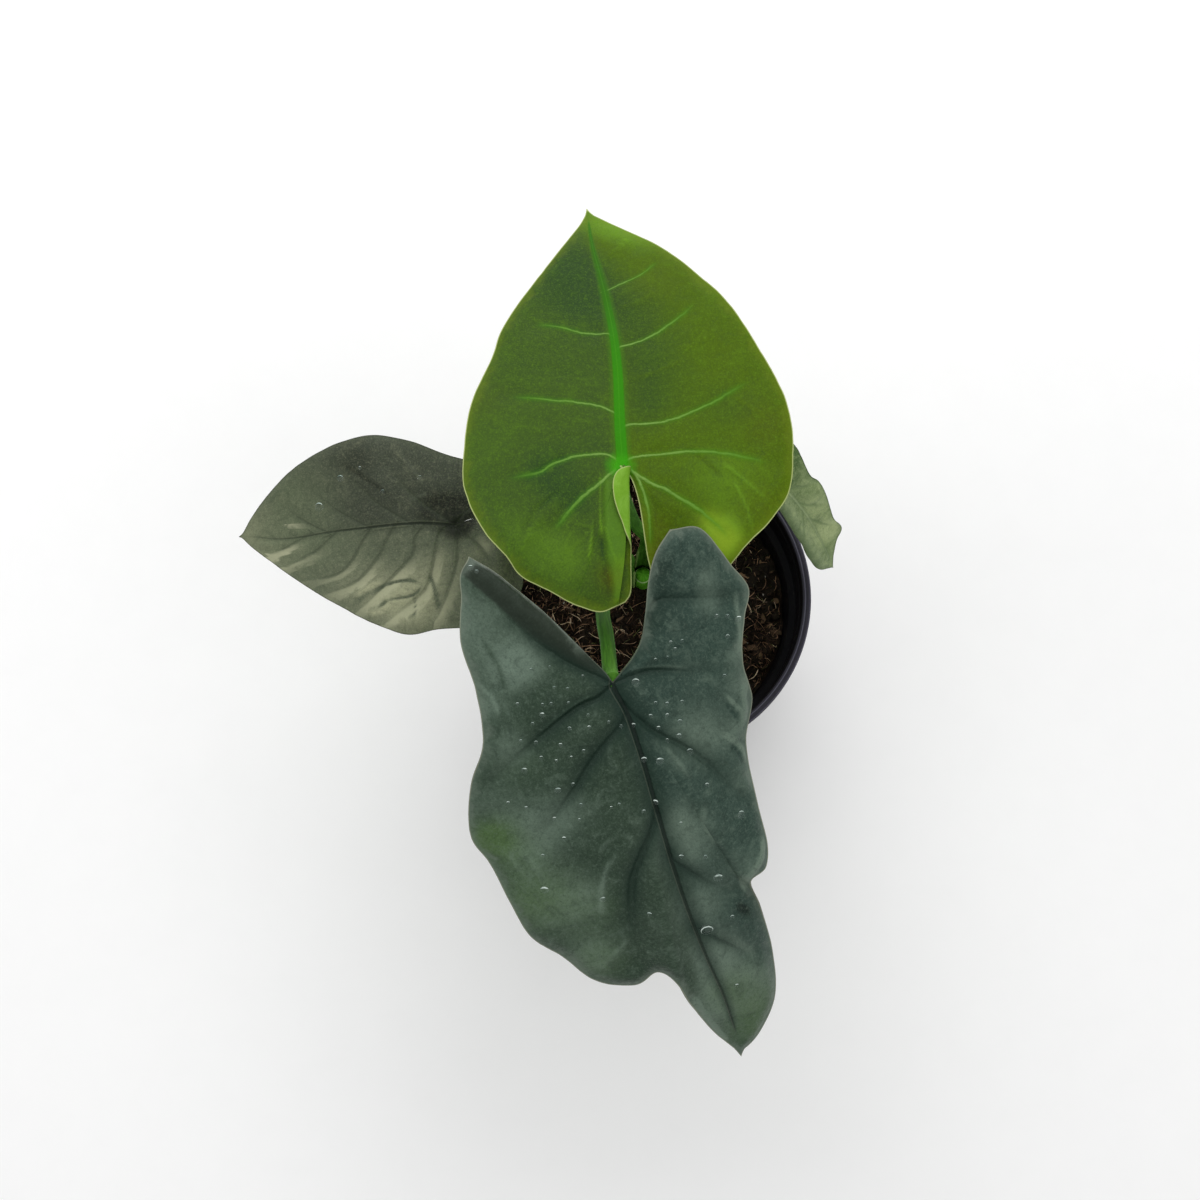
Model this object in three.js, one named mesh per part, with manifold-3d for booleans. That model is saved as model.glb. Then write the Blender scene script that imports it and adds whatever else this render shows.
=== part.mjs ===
// A potted aroid: a round nursery pot, its soil, a corm with roots, a bud sheath, and four
// leaves on their stems. Millimetres, +Z up, with the origin at the middle of the pot's
// underside. +X is to the viewer's right and +Y points away from the viewer.
import * as THREE from "three";
import { mergeVertices } from "three/addons/utils/BufferGeometryUtils.js";
import Module from "manifold-3d";

const wasm = await Module();
wasm.setup();

// Driving dimensions

const GAP = 0.35;

const POT = {
  height: 105, rimRadius: 60, lipWidth: 3.3, lipDepth: 3.4, lipRound: 0.5,
  collarDepth: 18, collarTopRadius: 58.1, collarFootRadius: 57.2, ledge: 2.6,
  baseRadius: 42, wall: 1.3, floor: 1.9, recess: 2, footWidth: 3, padRadius: 12,
  sides: 44, drainHoles: 8, drainRadius: 4, drainRing: 27,
};

const SOIL = { top: 79, swell: 2.2, sides: 36, rings: 6 };

const CROWN = {
  centre: [-2.1, 10.9], foot: 75.3, budRadius: 3.7, budTop: 92.5, neck: 113,
  bodyThickness: 3.2, wingThickness: 0.8, gap: 0.6, narrowing: 0.1, arcSteps: 8,
};

const CORM = { topRadius: 8.2, radius: 9, top: 74.9, waist: 67, bottom: 51, sides: 14 };

const ROOTS = { count: 8, radius: 1.5, tipRadius: 0.7, reach: 36, depth: 38, steps: 6, sides: 5 };

const BLADE = {
  thickness: 0.8, ribDepth: 1.1, raysPerSegment: 2, flapStrips: 7,
  rings: [0, 0.08, 0.17, 0.28, 0.41, 0.56, 0.72, 0.88, 1],
};

// Each stem: the side of the crown it grows on, the sheath at its foot, and the points that its
// middle passes on the way up to the blade. The level is 0 next to the bud and 1 outside that.
const STEMS = {
  petiole_young: {
    level: 0, side: 84, span: 56, sheathTop: 128, radius: 2.3, tipRadius: 1.9,
    way: [[-5.6, 16.2, 146], [-9.1, 14.2, 180], [-11.6, 11.7, 215]], colour: 0x3f7a12,
  },
  petiole_front: {
    level: 0, side: 188, span: 40, sheathTop: 120, radius: 2.6, tipRadius: 2.35,
    way: [[-12.6, -0.3, 148], [-16.1, -13.8, 181], [-17.6, -28.8, 211], [-16.2, -41.3, 227]],
    colour: 0x335717,
  },
  petiole_left: {
    level: 1, side: 168, span: 66, sheathTop: 106, radius: 2.1, tipRadius: 1.6,
    way: [[-17.6, 11.7, 130], [-33.6, 9.7, 160], [-52.6, 5.7, 184]], colour: 0x3c4a2a,
  },
  petiole_right: {
    level: 1, side: 20, span: 66, sheathTop: 98, radius: 1.9, tipRadius: 1.3,
    way: [[12.4, 15.7, 120], [22.9, 23.2, 141], [30.9, 30.2, 154]], colour: 0x3b5220,
  },
};

// Each leaf is drawn flat, in millimetres along its midrib and to its left, round the point
// where its stem joins it. The outline runs from the end of the left lobe to the tip and from
// there to the end of the right lobe, and each slot edge runs from the stem to a lobe's end. A
// flap is a strip that the left lobe has beyond its slot line and that is rolled over.
// heading: way that the tip points, degrees from +X. fall: how steeply it leaves the stem.
// bendTip, bendLobe: how much the blade bends along the midrib, each way from the joint.
// keel: how much it rises to the left and to the right of the midrib.
// waves: [place along the outline from 0 to 1, width, height, how near the edge].
// curls: an edge rolled up or down where it lies to the right of a crease between two points,
// over a part of the outline and fading out past it.
const LEAVES = {
  leaf_young: {
    stem: "petiole_young", joint: [-12.1, 10.7, 240], heading: 96, fall: 12,
    bendTip: 0.0035, bendLobe: 0.008, keel: [0.05, 0.05], keelRound: 6,
    left: [
      [-43.2, 5.4], [-44.7, 11.1], [-41.9, 17.7], [-37.3, 24.8], [-31.6, 33.4], [-25.5, 37.3],
      [-15.3, 44.1], [-2, 47.9], [13, 46.4], [28.6, 43], [44.8, 36.1], [58.6, 30.9], [80.4, 17.4],
      [101.5, 4.6], [111.7, 0],
    ],
    right: [
      [111.7, 0], [100.7, -9.3], [85.8, -22.5], [67.4, -33.7], [53.7, -41], [36.7, -46.8], [21, -51.7],
      [7.6, -53.1], [-4.6, -51.8], [-14.6, -49], [-23, -42], [-28.8, -35], [-34.3, -29.4],
      [-40.4, -24.2], [-43.2, -16.4], [-42.5, -10],
    ],
    leftSlot: [[-1, -1.1], [-12, -0.1], [-23, 1], [-30, 2.2], [-36, 3.6], [-40.5, 4.8]],
    flap: [
      [-1.2, -4], [-3.5, -7.6], [-7.3, -8.9], [-12.2, -8.3], [-16.3, -6.8], [-19.5, -5.2], [-23.3, -3.5],
      [-27.5, -0.8], [-31.5, 0], [-36, 0.3], [-40, 1.2], [-42.4, 3.2],
    ],
    rightSlot: [[-3.9, -2.5], [-10.5, -3.9], [-17.8, -4.4], [-24.8, -4.6], [-31, -5], [-38, -6.6]],
    waves: [
      [0.2, 0.04, 1.6, 4], [0.36, 0.05, -1.8, 4], [0.62, 0.05, 1.4, 4], [0.8, 0.05, -2.4, 3],
      [0.95, 0.06, -4, 1.5],
    ],
    curls: [
      { from: [-50, 3.4], to: [0, -1.3], radius: 1.4, turn: 165, up: true, part: [0, 0.3], fade: 0.02 },
    ],
    colour: 0x3f6a12, endDrop: 1.85,
  },
  leaf_front: {
    stem: "petiole_front", joint: [-14.6, -55.3, 240], heading: -69, fall: 24,
    bendTip: 0.0033, bendLobe: 0.001, keel: [-0.14, -0.14], keelRound: 6,
    left: [
      [-36.8, 31], [-33.8, 39.7], [-21.1, 44.7], [-11.6, 47.9], [-3.4, 43.7], [8.6, 39.1],
      [22.7, 38.6], [36.9, 32.8], [56.8, 30.3], [71, 29.2], [77.1, 26.3], [78.8, 20.1], [92.6, 21.1],
      [113.6, 21.1], [133.9, 17.8], [145.4, 9], [149.9, 0.7],
    ],
    right: [
      [149.9, 0.7], [133.8, -5.8], [115.8, -10.2], [104.6, -12.2], [100.9, -16.5], [105.6, -24.5],
      [100.1, -35.8], [86.5, -42.8], [74.5, -49.6], [60.9, -51.6], [45.3, -53.2], [33, -55.7],
      [16.4, -50.1], [4, -42.1], [-11.4, -38.9], [-25.7, -38.1], [-39, -33.2], [-45.7, -31.1],
      [-50, -26],
    ],
    leftSlot: [[-2, 3.4], [-4.5, 7.6], [-8.7, 12.1], [-16.1, 16], [-24.8, 20], [-31.8, 24.7]],
    rightSlot: [[-4.5, -1.4], [-10, -3.8], [-18, -6.4], [-27.2, -9.6], [-36, -14.4], [-43.5, -19]],
    waves: [
      [0.05, 0.08, 4, 1.5], [0.15, 0.035, 2, 3], [0.22, 0.05, -4, 3], [0.335, 0.03, 3.5, 3],
      [0.42, 0.04, -3, 4], [0.575, 0.03, 4, 3], [0.68, 0.05, -3.5, 3], [0.79, 0.035, -3, 3],
      [0.87, 0.04, 2.5, 3],
    ],
    curls: [
      { from: [0.3, -0.6], to: [-47.5, -29], radius: 2.5, turn: 65, up: false, part: [0.75, 1], fade: 0.02 },
    ],
    colour: 0x3f5248, endDrop: 1.85,
  },
  leaf_left: {
    stem: "petiole_left", joint: [-65.6, 3.7, 195], heading: 178, fall: 12,
    bendTip: 0.003, bendLobe: 0.002, keel: [0.12, 0.16], keelRound: 6,
    left: [
      [-24.5, 13], [-25, 20], [-20.5, 27.5], [-10, 33.6], [3.3, 34.7], [12.4, 36.6], [23, 33.4],
      [37.5, 26.4], [54.7, 16.7], [72.5, 4.9], [78.8, 0],
    ],
    right: [
      [78.8, 0], [73.3, -7.8], [61.5, -18.2], [50.1, -24.8], [39.1, -29.4], [28.2, -31.1],
      [15.5, -28.3], [3.6, -23.5], [-8, -20.5], [-18, -18.6], [-24.5, -13.5], [-24, -8.5],
    ],
    leftSlot: [[-4, -1.2], [-9, -1.9], [-14, 0.6], [-20, 6]],
    rightSlot: [[-4, -1.9], [-9, -3], [-14, -4.4], [-19, -6]],
    waves: [[0.2, 0.05, -1.6, 3], [0.31, 0.05, 1.5, 3], [0.62, 0.05, 1.6, 3], [0.74, 0.05, -1.5, 3]],
    curls: [{ from: [-11, 40], to: [-15, 4], radius: 6, turn: 50, up: false, part: [0, 0.4], fade: 0.02 }],
    colour: 0x565f4c, endDrop: 1.85,
  },
  leaf_right: {
    stem: "petiole_right", joint: [42.7, 26.7, 165], heading: -38, fall: 50,
    bendTip: 0.004, bendLobe: 0.004, keel: [0.15, 0.15], keelRound: 3,
    left: [
      [-19, 4], [-17, 11], [-6.8, 12.3], [-1.9, 11.9], [5.5, 10.9], [10.3, 10.9], [15, 12.2],
      [22.2, 11.4], [30, 9.4], [35, 9.1], [40, 9.8], [42.8, 8.5], [44.9, 5.9], [50, 2.2], [55.2, -0.6],
    ],
    right: [
      [55.2, -0.6], [51.5, -3.6], [46.5, -7.5], [38, -12], [28, -13.5], [16, -14], [5, -13.6],
      [-7, -13], [-15, -11], [-18.5, -6],
    ],
    leftSlot: [[-4, 1.6], [-9, 3], [-14, 4.4]],
    rightSlot: [[-4, -1], [-9, -2.4], [-14, -4]],
    waves: [[0.1, 0.04, 0.8, 3], [0.21, 0.03, -0.6, 3], [0.29, 0.03, 0.5, 3], [0.37, 0.03, 0.5, 3]],
    curls: [{ from: [-20, 0.4], to: [60, -3], radius: 2, turn: 125, up: false, part: [0.5, 0.8], fade: 0.1 }],
    colour: 0x8a9c74, endDrop: 1.85,
  },
};

// Small helpers

const radians = THREE.MathUtils.degToRad;
const smooth = (x) => THREE.MathUtils.smoothstep(x, 0, 1);
const flat = (angle, radius) => [radius * Math.cos(angle), radius * Math.sin(angle)];

// A steady draw between 0 and 1 for a seed number.
function draw(seed) {
  const value = Math.sin(seed * 127.1 + 311.7) * 43758.5453;
  return value - Math.floor(value);
}

function meshGeometry(points, triangles) {
  const geometry = new THREE.BufferGeometry();
  geometry.setAttribute("position", new THREE.Float32BufferAttribute(points.flat(), 3));
  geometry.setIndex(triangles.flat());
  return geometry;
}

// A closed solid from sections with the same number of points, each drawn anticlockwise as seen
// from its far side, with both ends closed by a strip from side to side.
function loft(sections) {
  const count = sections[0].length;
  const points = sections.flat();
  const triangles = [];
  for (let row = 0; row + 1 < sections.length; row += 1) {
    for (let i = 0; i < count; i += 1) {
      const a = row * count + i;
      const b = row * count + (i + 1) % count;
      triangles.push([a, b, b + count], [a, b + count, a + count]);
    }
  }
  const end = (sections.length - 1) * count;
  let [low, high] = [0, count - 1];
  while (low + 1 < high) {
    triangles.push([high, low + 1, low], [end + low, end + low + 1, end + high]);
    low += 1;
    if (low + 1 < high) triangles.push([high, high - 1, low], [end + low, end + high - 1, end + high]);
    high -= 1;
  }
  return meshGeometry(points, triangles);
}

// Sections of a round tube along a curve, kept upright to a fixed direction.
function tubeSections(curve, steps, sides, radiusAt, outward) {
  const sections = [];
  for (let i = 0; i <= steps; i += 1) {
    const u = i / steps;
    const middle = curve.getPointAt(u);
    const along = curve.getTangentAt(u);
    const across = new THREE.Vector3().crossVectors(along, outward).normalize();
    const away = new THREE.Vector3().crossVectors(across, along);
    const radius = radiusAt(u);
    const section = [];
    for (let k = 0; k < sides; k += 1) {
      const angle = (2 * Math.PI * k) / sides;
      const p = middle.clone()
        .addScaledVector(away, radius * Math.cos(angle))
        .addScaledVector(across, radius * Math.sin(angle));
      section.push(p.toArray());
    }
    sections.push(section);
  }
  return sections;
}

// Booleans

function solid(geometry) {
  const bare = geometry.clone();
  bare.deleteAttribute("normal");
  bare.deleteAttribute("uv");
  const merged = mergeVertices(bare, 1e-4);
  return new wasm.Manifold(new wasm.Mesh({
    numProp: 3,
    vertProperties: new Float32Array(merged.attributes.position.array),
    triVerts: new Uint32Array(merged.index.array),
  }));
}

function geometryOf(body) {
  const mesh = body.getMesh();
  const geometry = new THREE.BufferGeometry();
  geometry.setAttribute("position", new THREE.BufferAttribute(new Float32Array(mesh.vertProperties), 3));
  geometry.setIndex(new THREE.BufferAttribute(new Uint32Array(mesh.triVerts), 1));
  return geometry;
}

// A turned solid about the upright axis through a point, from [radius, height] pairs.
function turned(profile, sides, centre = [0, 0]) {
  const geometry = new THREE.LatheGeometry(profile.map(([r, z]) => new THREE.Vector2(r, z)), sides);
  return geometry.rotateX(Math.PI / 2).translate(centre[0], centre[1], 0);
}

// Pot

const COLLAR_FOOT = POT.height - POT.collarDepth;
const WALL_TOP_RADIUS = POT.collarFootRadius - POT.ledge;
const FLOOR_TOP = POT.recess + POT.floor;

// Radius of the tapered wall's outside at a height under the ledge.
function wallRadius(z) {
  return THREE.MathUtils.mapLinear(z, 0, COLLAR_FOOT, POT.baseRadius, WALL_TOP_RADIUS);
}

function potGeometry() {
  const lipInner = POT.rimRadius - POT.lipWidth;
  const lipFoot = POT.height - POT.lipDepth;
  const footInner = POT.baseRadius - POT.footWidth;
  const outside = [
    [0, 0], [POT.padRadius, 0], [POT.padRadius + 1, POT.recess], [footInner - 1, POT.recess], [footInner, 0],
    [POT.baseRadius, 0], [WALL_TOP_RADIUS, COLLAR_FOOT], [POT.collarFootRadius, COLLAR_FOOT + 1],
    [POT.collarTopRadius, lipFoot + POT.wall], [POT.rimRadius - POT.wall * 0.6, lipFoot + POT.wall],
    [POT.rimRadius - POT.wall * 0.6, lipFoot], [POT.rimRadius, lipFoot],
    [POT.rimRadius, POT.height - POT.lipRound], [POT.rimRadius - POT.lipRound, POT.height],
  ];
  const inside = [
    [lipInner + POT.lipRound, POT.height], [lipInner, POT.height - POT.lipRound],
    [POT.collarFootRadius - POT.wall, COLLAR_FOOT + 1.6],
    [wallRadius(COLLAR_FOOT) - POT.wall, COLLAR_FOOT - 1],
    [wallRadius(FLOOR_TOP) - POT.wall, FLOOR_TOP + 1.2], [wallRadius(FLOOR_TOP) - POT.wall - 1.4, FLOOR_TOP],
    [0, FLOOR_TOP],
  ];
  let body = solid(turned([...outside, ...inside], POT.sides));
  for (let i = 0; i < POT.drainHoles; i += 1) {
    const [x, y] = flat((2 * Math.PI * i) / POT.drainHoles, POT.drainRing);
    const hole = new THREE.CylinderGeometry(POT.drainRadius, POT.drainRadius, 3 * POT.floor, 12);
    hole.rotateX(Math.PI / 2).translate(x, y, FLOOR_TOP - POT.floor / 2);
    body = body.subtract(solid(hole));
  }
  return geometryOf(body);
}

// Crown: how far from its middle the sheaths reach, by level

// Thickness of a sheath at an angle from its own side, thick in the middle and thin at the wings.
function sheathThickness(turn, span) {
  const share = Math.min(Math.abs(turn) / span, 1);
  const extra = CROWN.bodyThickness - CROWN.wingThickness;
  return CROWN.wingThickness + extra * Math.cos(share * Math.PI / 2) ** 2;
}

function turnBetween(angle, side) {
  return THREE.MathUtils.euclideanModulo(angle - side + 180, 360) - 180;
}

// Inner and outer radius of the sheath of a stem at an angle, in degrees.
function innerRadius(level, angle) {
  if (level === 0) return CROWN.budRadius + CROWN.gap;
  const reach = [];
  for (const stem of Object.values(STEMS).filter((item) => item.level === 0)) {
    for (const near of [-14, 0, 14]) {
      reach.push(sheathThickness(turnBetween(angle + near, stem.side), stem.span));
    }
  }
  return innerRadius(0, angle) + Math.max(...reach) + CROWN.gap;
}

// How far from the crown's middle the outermost sheath reaches.
function crownReach() {
  const reach = [];
  for (const stem of Object.values(STEMS)) {
    for (let turn = -stem.span; turn <= stem.span; turn += 2) {
      reach.push(innerRadius(stem.level, stem.side + turn) + sheathThickness(turn, stem.span));
    }
  }
  return Math.max(...reach);
}

// The crown narrows a little towards its top.
function crownScale(z) {
  return 1 - CROWN.narrowing * smooth((z - CROWN.foot) / (CROWN.neck - CROWN.foot));
}

function crownPoint(angle, radius, z) {
  const [x, y] = flat(radians(angle), radius * crownScale(z));
  return [CROWN.centre[0] + x, CROWN.centre[1] + y, z];
}

// Section of a stem's sheath: out along its back from wing to wing and home along its inside.
function sheathSection(stem, z, reach) {
  const section = [];
  for (const outside of [true, false]) {
    for (let i = 0; i <= CROWN.arcSteps; i += 1) {
      const turn = reach * (outside ? 2 * i / CROWN.arcSteps - 1 : 1 - 2 * i / CROWN.arcSteps);
      const inner = innerRadius(stem.level, stem.side + turn);
      const radius = outside ? inner + sheathThickness(turn, reach) : inner;
      section.push(crownPoint(stem.side + turn, radius, z));
    }
  }
  return section;
}

// Round section that matches a sheath section point for point.
function roundSection(middle, away, across, radius) {
  const arc = radians(160) / CROWN.arcSteps;
  const section = [];
  for (const start of [-80, 100]) {
    for (let i = 0; i <= CROWN.arcSteps; i += 1) {
      const angle = radians(start) + arc * i;
      section.push(middle.clone()
        .addScaledVector(away, radius * Math.cos(angle))
        .addScaledVector(across, radius * Math.sin(angle)).toArray());
    }
  }
  return section;
}

function blendSections(a, b, share) {
  return a.map((p, i) => p.map((value, axis) => value + (b[i][axis] - value) * share));
}

// Leaf surface

function leafFrame(leaf) {
  const heading = radians(leaf.heading);
  const fall = radians(leaf.fall);
  const ahead = new THREE.Vector3(Math.cos(heading), Math.sin(heading), 0);
  const left = new THREE.Vector3(-Math.sin(heading), Math.cos(heading), 0);
  const up = new THREE.Vector3(0, 0, 1);
  const along = ahead.clone().multiplyScalar(Math.cos(fall)).addScaledVector(up, -Math.sin(fall));
  const normal = up.multiplyScalar(Math.cos(fall)).addScaledVector(ahead, Math.sin(fall));
  return { joint: new THREE.Vector3(...leaf.joint), along, left, normal };
}

// Rolls an edge past its crease: gives the new place across and the height it gains.
function applyCurl(curl, share, a, b) {
  const dx = curl.to[0] - curl.from[0];
  const dy = curl.to[1] - curl.from[1];
  const length = Math.hypot(dx, dy);
  const nx = dy / length;
  const ny = -dx / length;
  const past = (a - curl.from[0]) * nx + (b - curl.from[1]) * ny;
  if (past <= 0) return [a, b, 0];
  const turn = Math.min(past / curl.radius, radians(curl.turn) * share);
  const rest = past - curl.radius * turn;
  const across = curl.radius * Math.sin(turn) + rest * Math.cos(turn);
  const rise = curl.radius * (1 - Math.cos(turn)) + rest * Math.sin(turn);
  return [a + nx * (across - past), b + ny * (across - past), curl.up ? rise : -rise];
}

// A point of the middle of the blade from its flat place, and its share s along the outline
// and t out from the joint.
function leafPoint(leaf, frame, a0, b0, s, t) {
  let [a, b, height] = [a0, b0, 0];
  for (const curl of leaf.curls) {
    const share = 1 - smooth(Math.max(curl.part[0] - s, s - curl.part[1]) / curl.fade);
    const [a1, b1, rise] = applyCurl(curl, share, a, b);
    [a, b, height] = [a1, b1, height + rise];
  }
  const keel = leaf.keel[b > 0 ? 0 : 1];
  height += keel * (Math.hypot(b, leaf.keelRound) - leaf.keelRound);
  for (const [place, width, rise, power] of leaf.waves) {
    height += rise * Math.exp(-(((s - place) / width) ** 2)) * t ** power;
  }
  const bend = a > 0 ? leaf.bendTip : leaf.bendLobe;
  const angle = bend * a;
  return frame.joint.clone()
    .addScaledVector(frame.along, Math.sin(angle) / bend + height * Math.sin(angle))
    .addScaledVector(frame.normal, -(1 - Math.cos(angle)) / bend + height * Math.cos(angle))
    .addScaledVector(frame.left, b);
}

function curveThrough(points) {
  const flatPoints = points.map(([x, y]) => new THREE.Vector3(x, y, 0));
  return new THREE.CatmullRomCurve3(flatPoints, false, "catmullrom", 0.5);
}

// The flat places of a blade's mesh: rays from the joint to the outline, in rings.
function bladeGrid(leaf) {
  const outline = [];
  for (const side of [leaf.left, leaf.right]) {
    const curve = curveThrough(side);
    const count = (side.length - 1) * BLADE.raysPerSegment;
    for (let i = side === leaf.right ? 1 : 0; i <= count; i += 1) {
      const p = curve.getPoint(i / count);
      outline.push({ s: (i / count + (side === leaf.right ? 1 : 0)) / 2, a: p.x, b: p.y });
    }
  }
  const slots = [
    curveThrough([[0, 0], ...leaf.leftSlot, leaf.left[0]]),
    curveThrough([[0, 0], ...leaf.rightSlot, leaf.right.at(-1)]),
  ];
  const ends = [outline[0], outline.at(-1)];
  const grid = outline.map((edge) => BLADE.rings.map((t) => {
    let [a, b] = [t * edge.a, t * edge.b];
    slots.forEach((slot, k) => {
      const p = slot.getPointAt(t);
      const pull = Math.exp(-(((edge.s - k) / 0.12) ** 2));
      a += pull * (p.x - t * ends[k].a);
      b += pull * (p.y - t * ends[k].b);
    });
    return { a, b, s: edge.s, t };
  }));
  if (leaf.flap) {
    const edge = curveThrough([[0, 0], ...leaf.flap]);
    for (let i = 1; i <= BLADE.flapStrips; i += 1) {
      const share = i / BLADE.flapStrips;
      grid.unshift(BLADE.rings.map((t) => {
        const p = slots[0].getPointAt(t).lerp(edge.getPointAt(t), share);
        return { a: p.x, b: p.y, s: 0, t };
      }));
    }
  }
  return grid;
}

// Thickening under the midrib and under the two veins that run into the lobes.
function ribDepth(ray, rays, left, t) {
  const ribs = [left, Math.round(left * 0.42), rays - Math.round((rays - left) * 0.42)];
  if (t === 0) return BLADE.ribDepth;
  return ribs.includes(ray) ? BLADE.ribDepth * (1 - t) : 0;
}

function bladeGeometry(leaf) {
  const frame = leafFrame(leaf);
  const grid = bladeGrid(leaf);
  const rays = grid.length - 1;
  const rings = BLADE.rings.length - 1;
  const leftRays = grid.findIndex((ray) => ray[0].s === 0.5);
  const index = (ray, ring) => (ring === 0 ? 0 : 1 + ray * rings + ring - 1);
  const middle = [leafPoint(leaf, frame, 0, 0, 0.5, 0)];
  const rib = [ribDepth(0, rays, leftRays, 0)];
  for (let ray = 0; ray <= rays; ray += 1) {
    for (let ring = 1; ring <= rings; ring += 1) {
      const { a, b, s, t } = grid[ray][ring];
      middle.push(leafPoint(leaf, frame, a, b, s, t));
      rib.push(ribDepth(ray, rays, leftRays, t));
    }
  }
  const faces = [];
  for (let ray = 0; ray < rays; ray += 1) {
    faces.push([0, index(ray + 1, 1), index(ray, 1)]);
    for (let ring = 1; ring < rings; ring += 1) {
      const [a, b] = [index(ray, ring), index(ray + 1, ring)];
      const [c, d] = [index(ray + 1, ring + 1), index(ray, ring + 1)];
      faces.push([a, b, c], [a, c, d]);
    }
  }
  const normals = middle.map(() => new THREE.Vector3());
  for (const face of faces) {
    const [p, q, r] = face.map((i) => middle[i]);
    const cross = new THREE.Vector3().crossVectors(q.clone().sub(p), r.clone().sub(p));
    face.forEach((i) => normals[i].add(cross));
  }
  const half = BLADE.thickness / 2;
  const top = middle.map((p, i) => p.clone().addScaledVector(normals[i].normalize(), half).toArray());
  const under = middle.map((p, i) => p.clone().addScaledVector(normals[i], -half - rib[i]).toArray());
  const border = [0];
  for (let ring = 1; ring <= rings; ring += 1) border.push(index(0, ring));
  for (let ray = 1; ray <= rays; ray += 1) border.push(index(ray, rings));
  for (let ring = rings - 1; ring >= 1; ring -= 1) border.push(index(rays, ring));
  const count = middle.length;
  const triangles = [...faces, ...faces.map(([a, b, c]) => [a + count, c + count, b + count])];
  border.forEach((a, i) => {
    const b = border[(i + 1) % border.length];
    triangles.push([a, b, b + count], [a, b + count, a + count]);
  });
  return meshGeometry([...top, ...under], triangles);
}

// Stems

function stemGeometry(name) {
  const stem = STEMS[name];
  const leaf = Object.values(LEAVES).find((item) => item.stem === name);
  const { joint, normal } = leafFrame(leaf);
  const away = new THREE.Vector3(...flat(radians(stem.side), 1), 0);
  const across = new THREE.Vector3(-away.y, away.x, 0);
  const opening = stem.sheathTop - 16;
  const start = innerRadius(stem.level, stem.side) + stem.radius;
  const foot = new THREE.Vector3(...crownPoint(stem.side, start, stem.sheathTop));
  const seat = joint.clone().addScaledVector(normal, -leaf.endDrop);
  const way = stem.way.map((p) => new THREE.Vector3(...p));
  const arrival = seat.clone().sub(way.at(-1)).normalize();
  const lead = seat.clone().addScaledVector(normal, -1.6).addScaledVector(arrival, -3.2);
  const curve = new THREE.CatmullRomCurve3([foot, ...way, lead, seat], false, "centripetal");
  const sections = [];
  for (const share of [0, 0.45, 0.7, 0.85]) {
    const z = CROWN.foot + (opening - CROWN.foot) * share / 0.85;
    sections.push(sheathSection(stem, z, stem.span * (1 - 0.25 * share)));
  }
  for (const share of [0.35, 0.7]) {
    const z = opening + (stem.sheathTop - opening) * share;
    const sheath = sheathSection(stem, z, stem.span * (0.79 - 0.45 * share));
    const middle = new THREE.Vector3(...crownPoint(stem.side, start, z));
    const tube = roundSection(middle, away, across, stem.radius);
    sections.push(blendSections(sheath, tube, smooth(share)));
  }
  const steps = Math.round(curve.getLength() / 9);
  for (let i = 0; i <= steps; i += 1) {
    const u = i / steps;
    const middle = curve.getPointAt(u);
    const tangent = curve.getTangentAt(u);
    const side = new THREE.Vector3().crossVectors(tangent, away).normalize();
    const out = new THREE.Vector3().crossVectors(side, tangent);
    const radius = THREE.MathUtils.lerp(stem.radius, stem.tipRadius, u);
    const section = roundSection(middle, out, side, radius);
    sections.push(i < steps ? section : section.map((p) => {
      const point = new THREE.Vector3(...p);
      const lift = seat.clone().sub(point).dot(normal) / tangent.dot(normal);
      return point.addScaledVector(tangent, lift).toArray();
    }));
  }
  return loft(sections);
}

function budGeometry() {
  const profile = [
    [0, CROWN.foot], [CROWN.budRadius, CROWN.foot], [CROWN.budRadius * 0.98, CROWN.budTop - 5],
    [CROWN.budRadius * 0.86, CROWN.budTop - 2.4], [CROWN.budRadius * 0.62, CROWN.budTop - 0.8],
    [CROWN.budRadius * 0.3, CROWN.budTop - 0.1], [0, CROWN.budTop],
  ];
  return geometryOf(solid(turned(profile, 16, CROWN.centre)));
}

// Corm, roots and soil

// The corm, grown by a margin for the hole it needs in the soil.
function cormBody(margin) {
  const profile = [
    [0, CORM.bottom - margin], [CORM.radius * 0.5 + margin, CORM.bottom + 2 - margin],
    [CORM.radius * 0.95 + margin, CORM.waist - 6], [CORM.radius + margin, CORM.waist],
    [CORM.topRadius + margin, CORM.top + margin], [0, CORM.top + margin],
  ];
  let body = solid(turned(profile, CORM.sides, CROWN.centre));
  for (let i = 0; i < ROOTS.count; i += 1) {
    const angle = (2 * Math.PI * (i + 0.6 * draw(i))) / ROOTS.count;
    const reach = ROOTS.reach * (0.6 + 0.4 * draw(i + 20));
    const depth = ROOTS.depth * (0.5 + 0.5 * draw(i + 40));
    const points = [];
    for (const share of [0, 0.3, 0.65, 1]) {
      const [x, y] = flat(angle + 0.5 * share * (draw(i + 60) - 0.5), 4 + (reach - 4) * share);
      const z = CORM.waist - 6 - depth * share ** 1.6;
      points.push(new THREE.Vector3(CROWN.centre[0] + x, CROWN.centre[1] + y, z));
    }
    const end = points.at(-1);
    const tip = points[2].clone().lerp(end, 1 + margin / 10);
    const curve = new THREE.CatmullRomCurve3([...points.slice(0, 3), tip]);
    const radiusAt = (u) => THREE.MathUtils.lerp(ROOTS.radius, ROOTS.tipRadius, u) + margin;
    const outward = new THREE.Vector3(0, 0, 1);
    body = body.add(solid(loft(tubeSections(curve, ROOTS.steps, ROOTS.sides, radiusAt, outward))));
  }
  return body;
}

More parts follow.
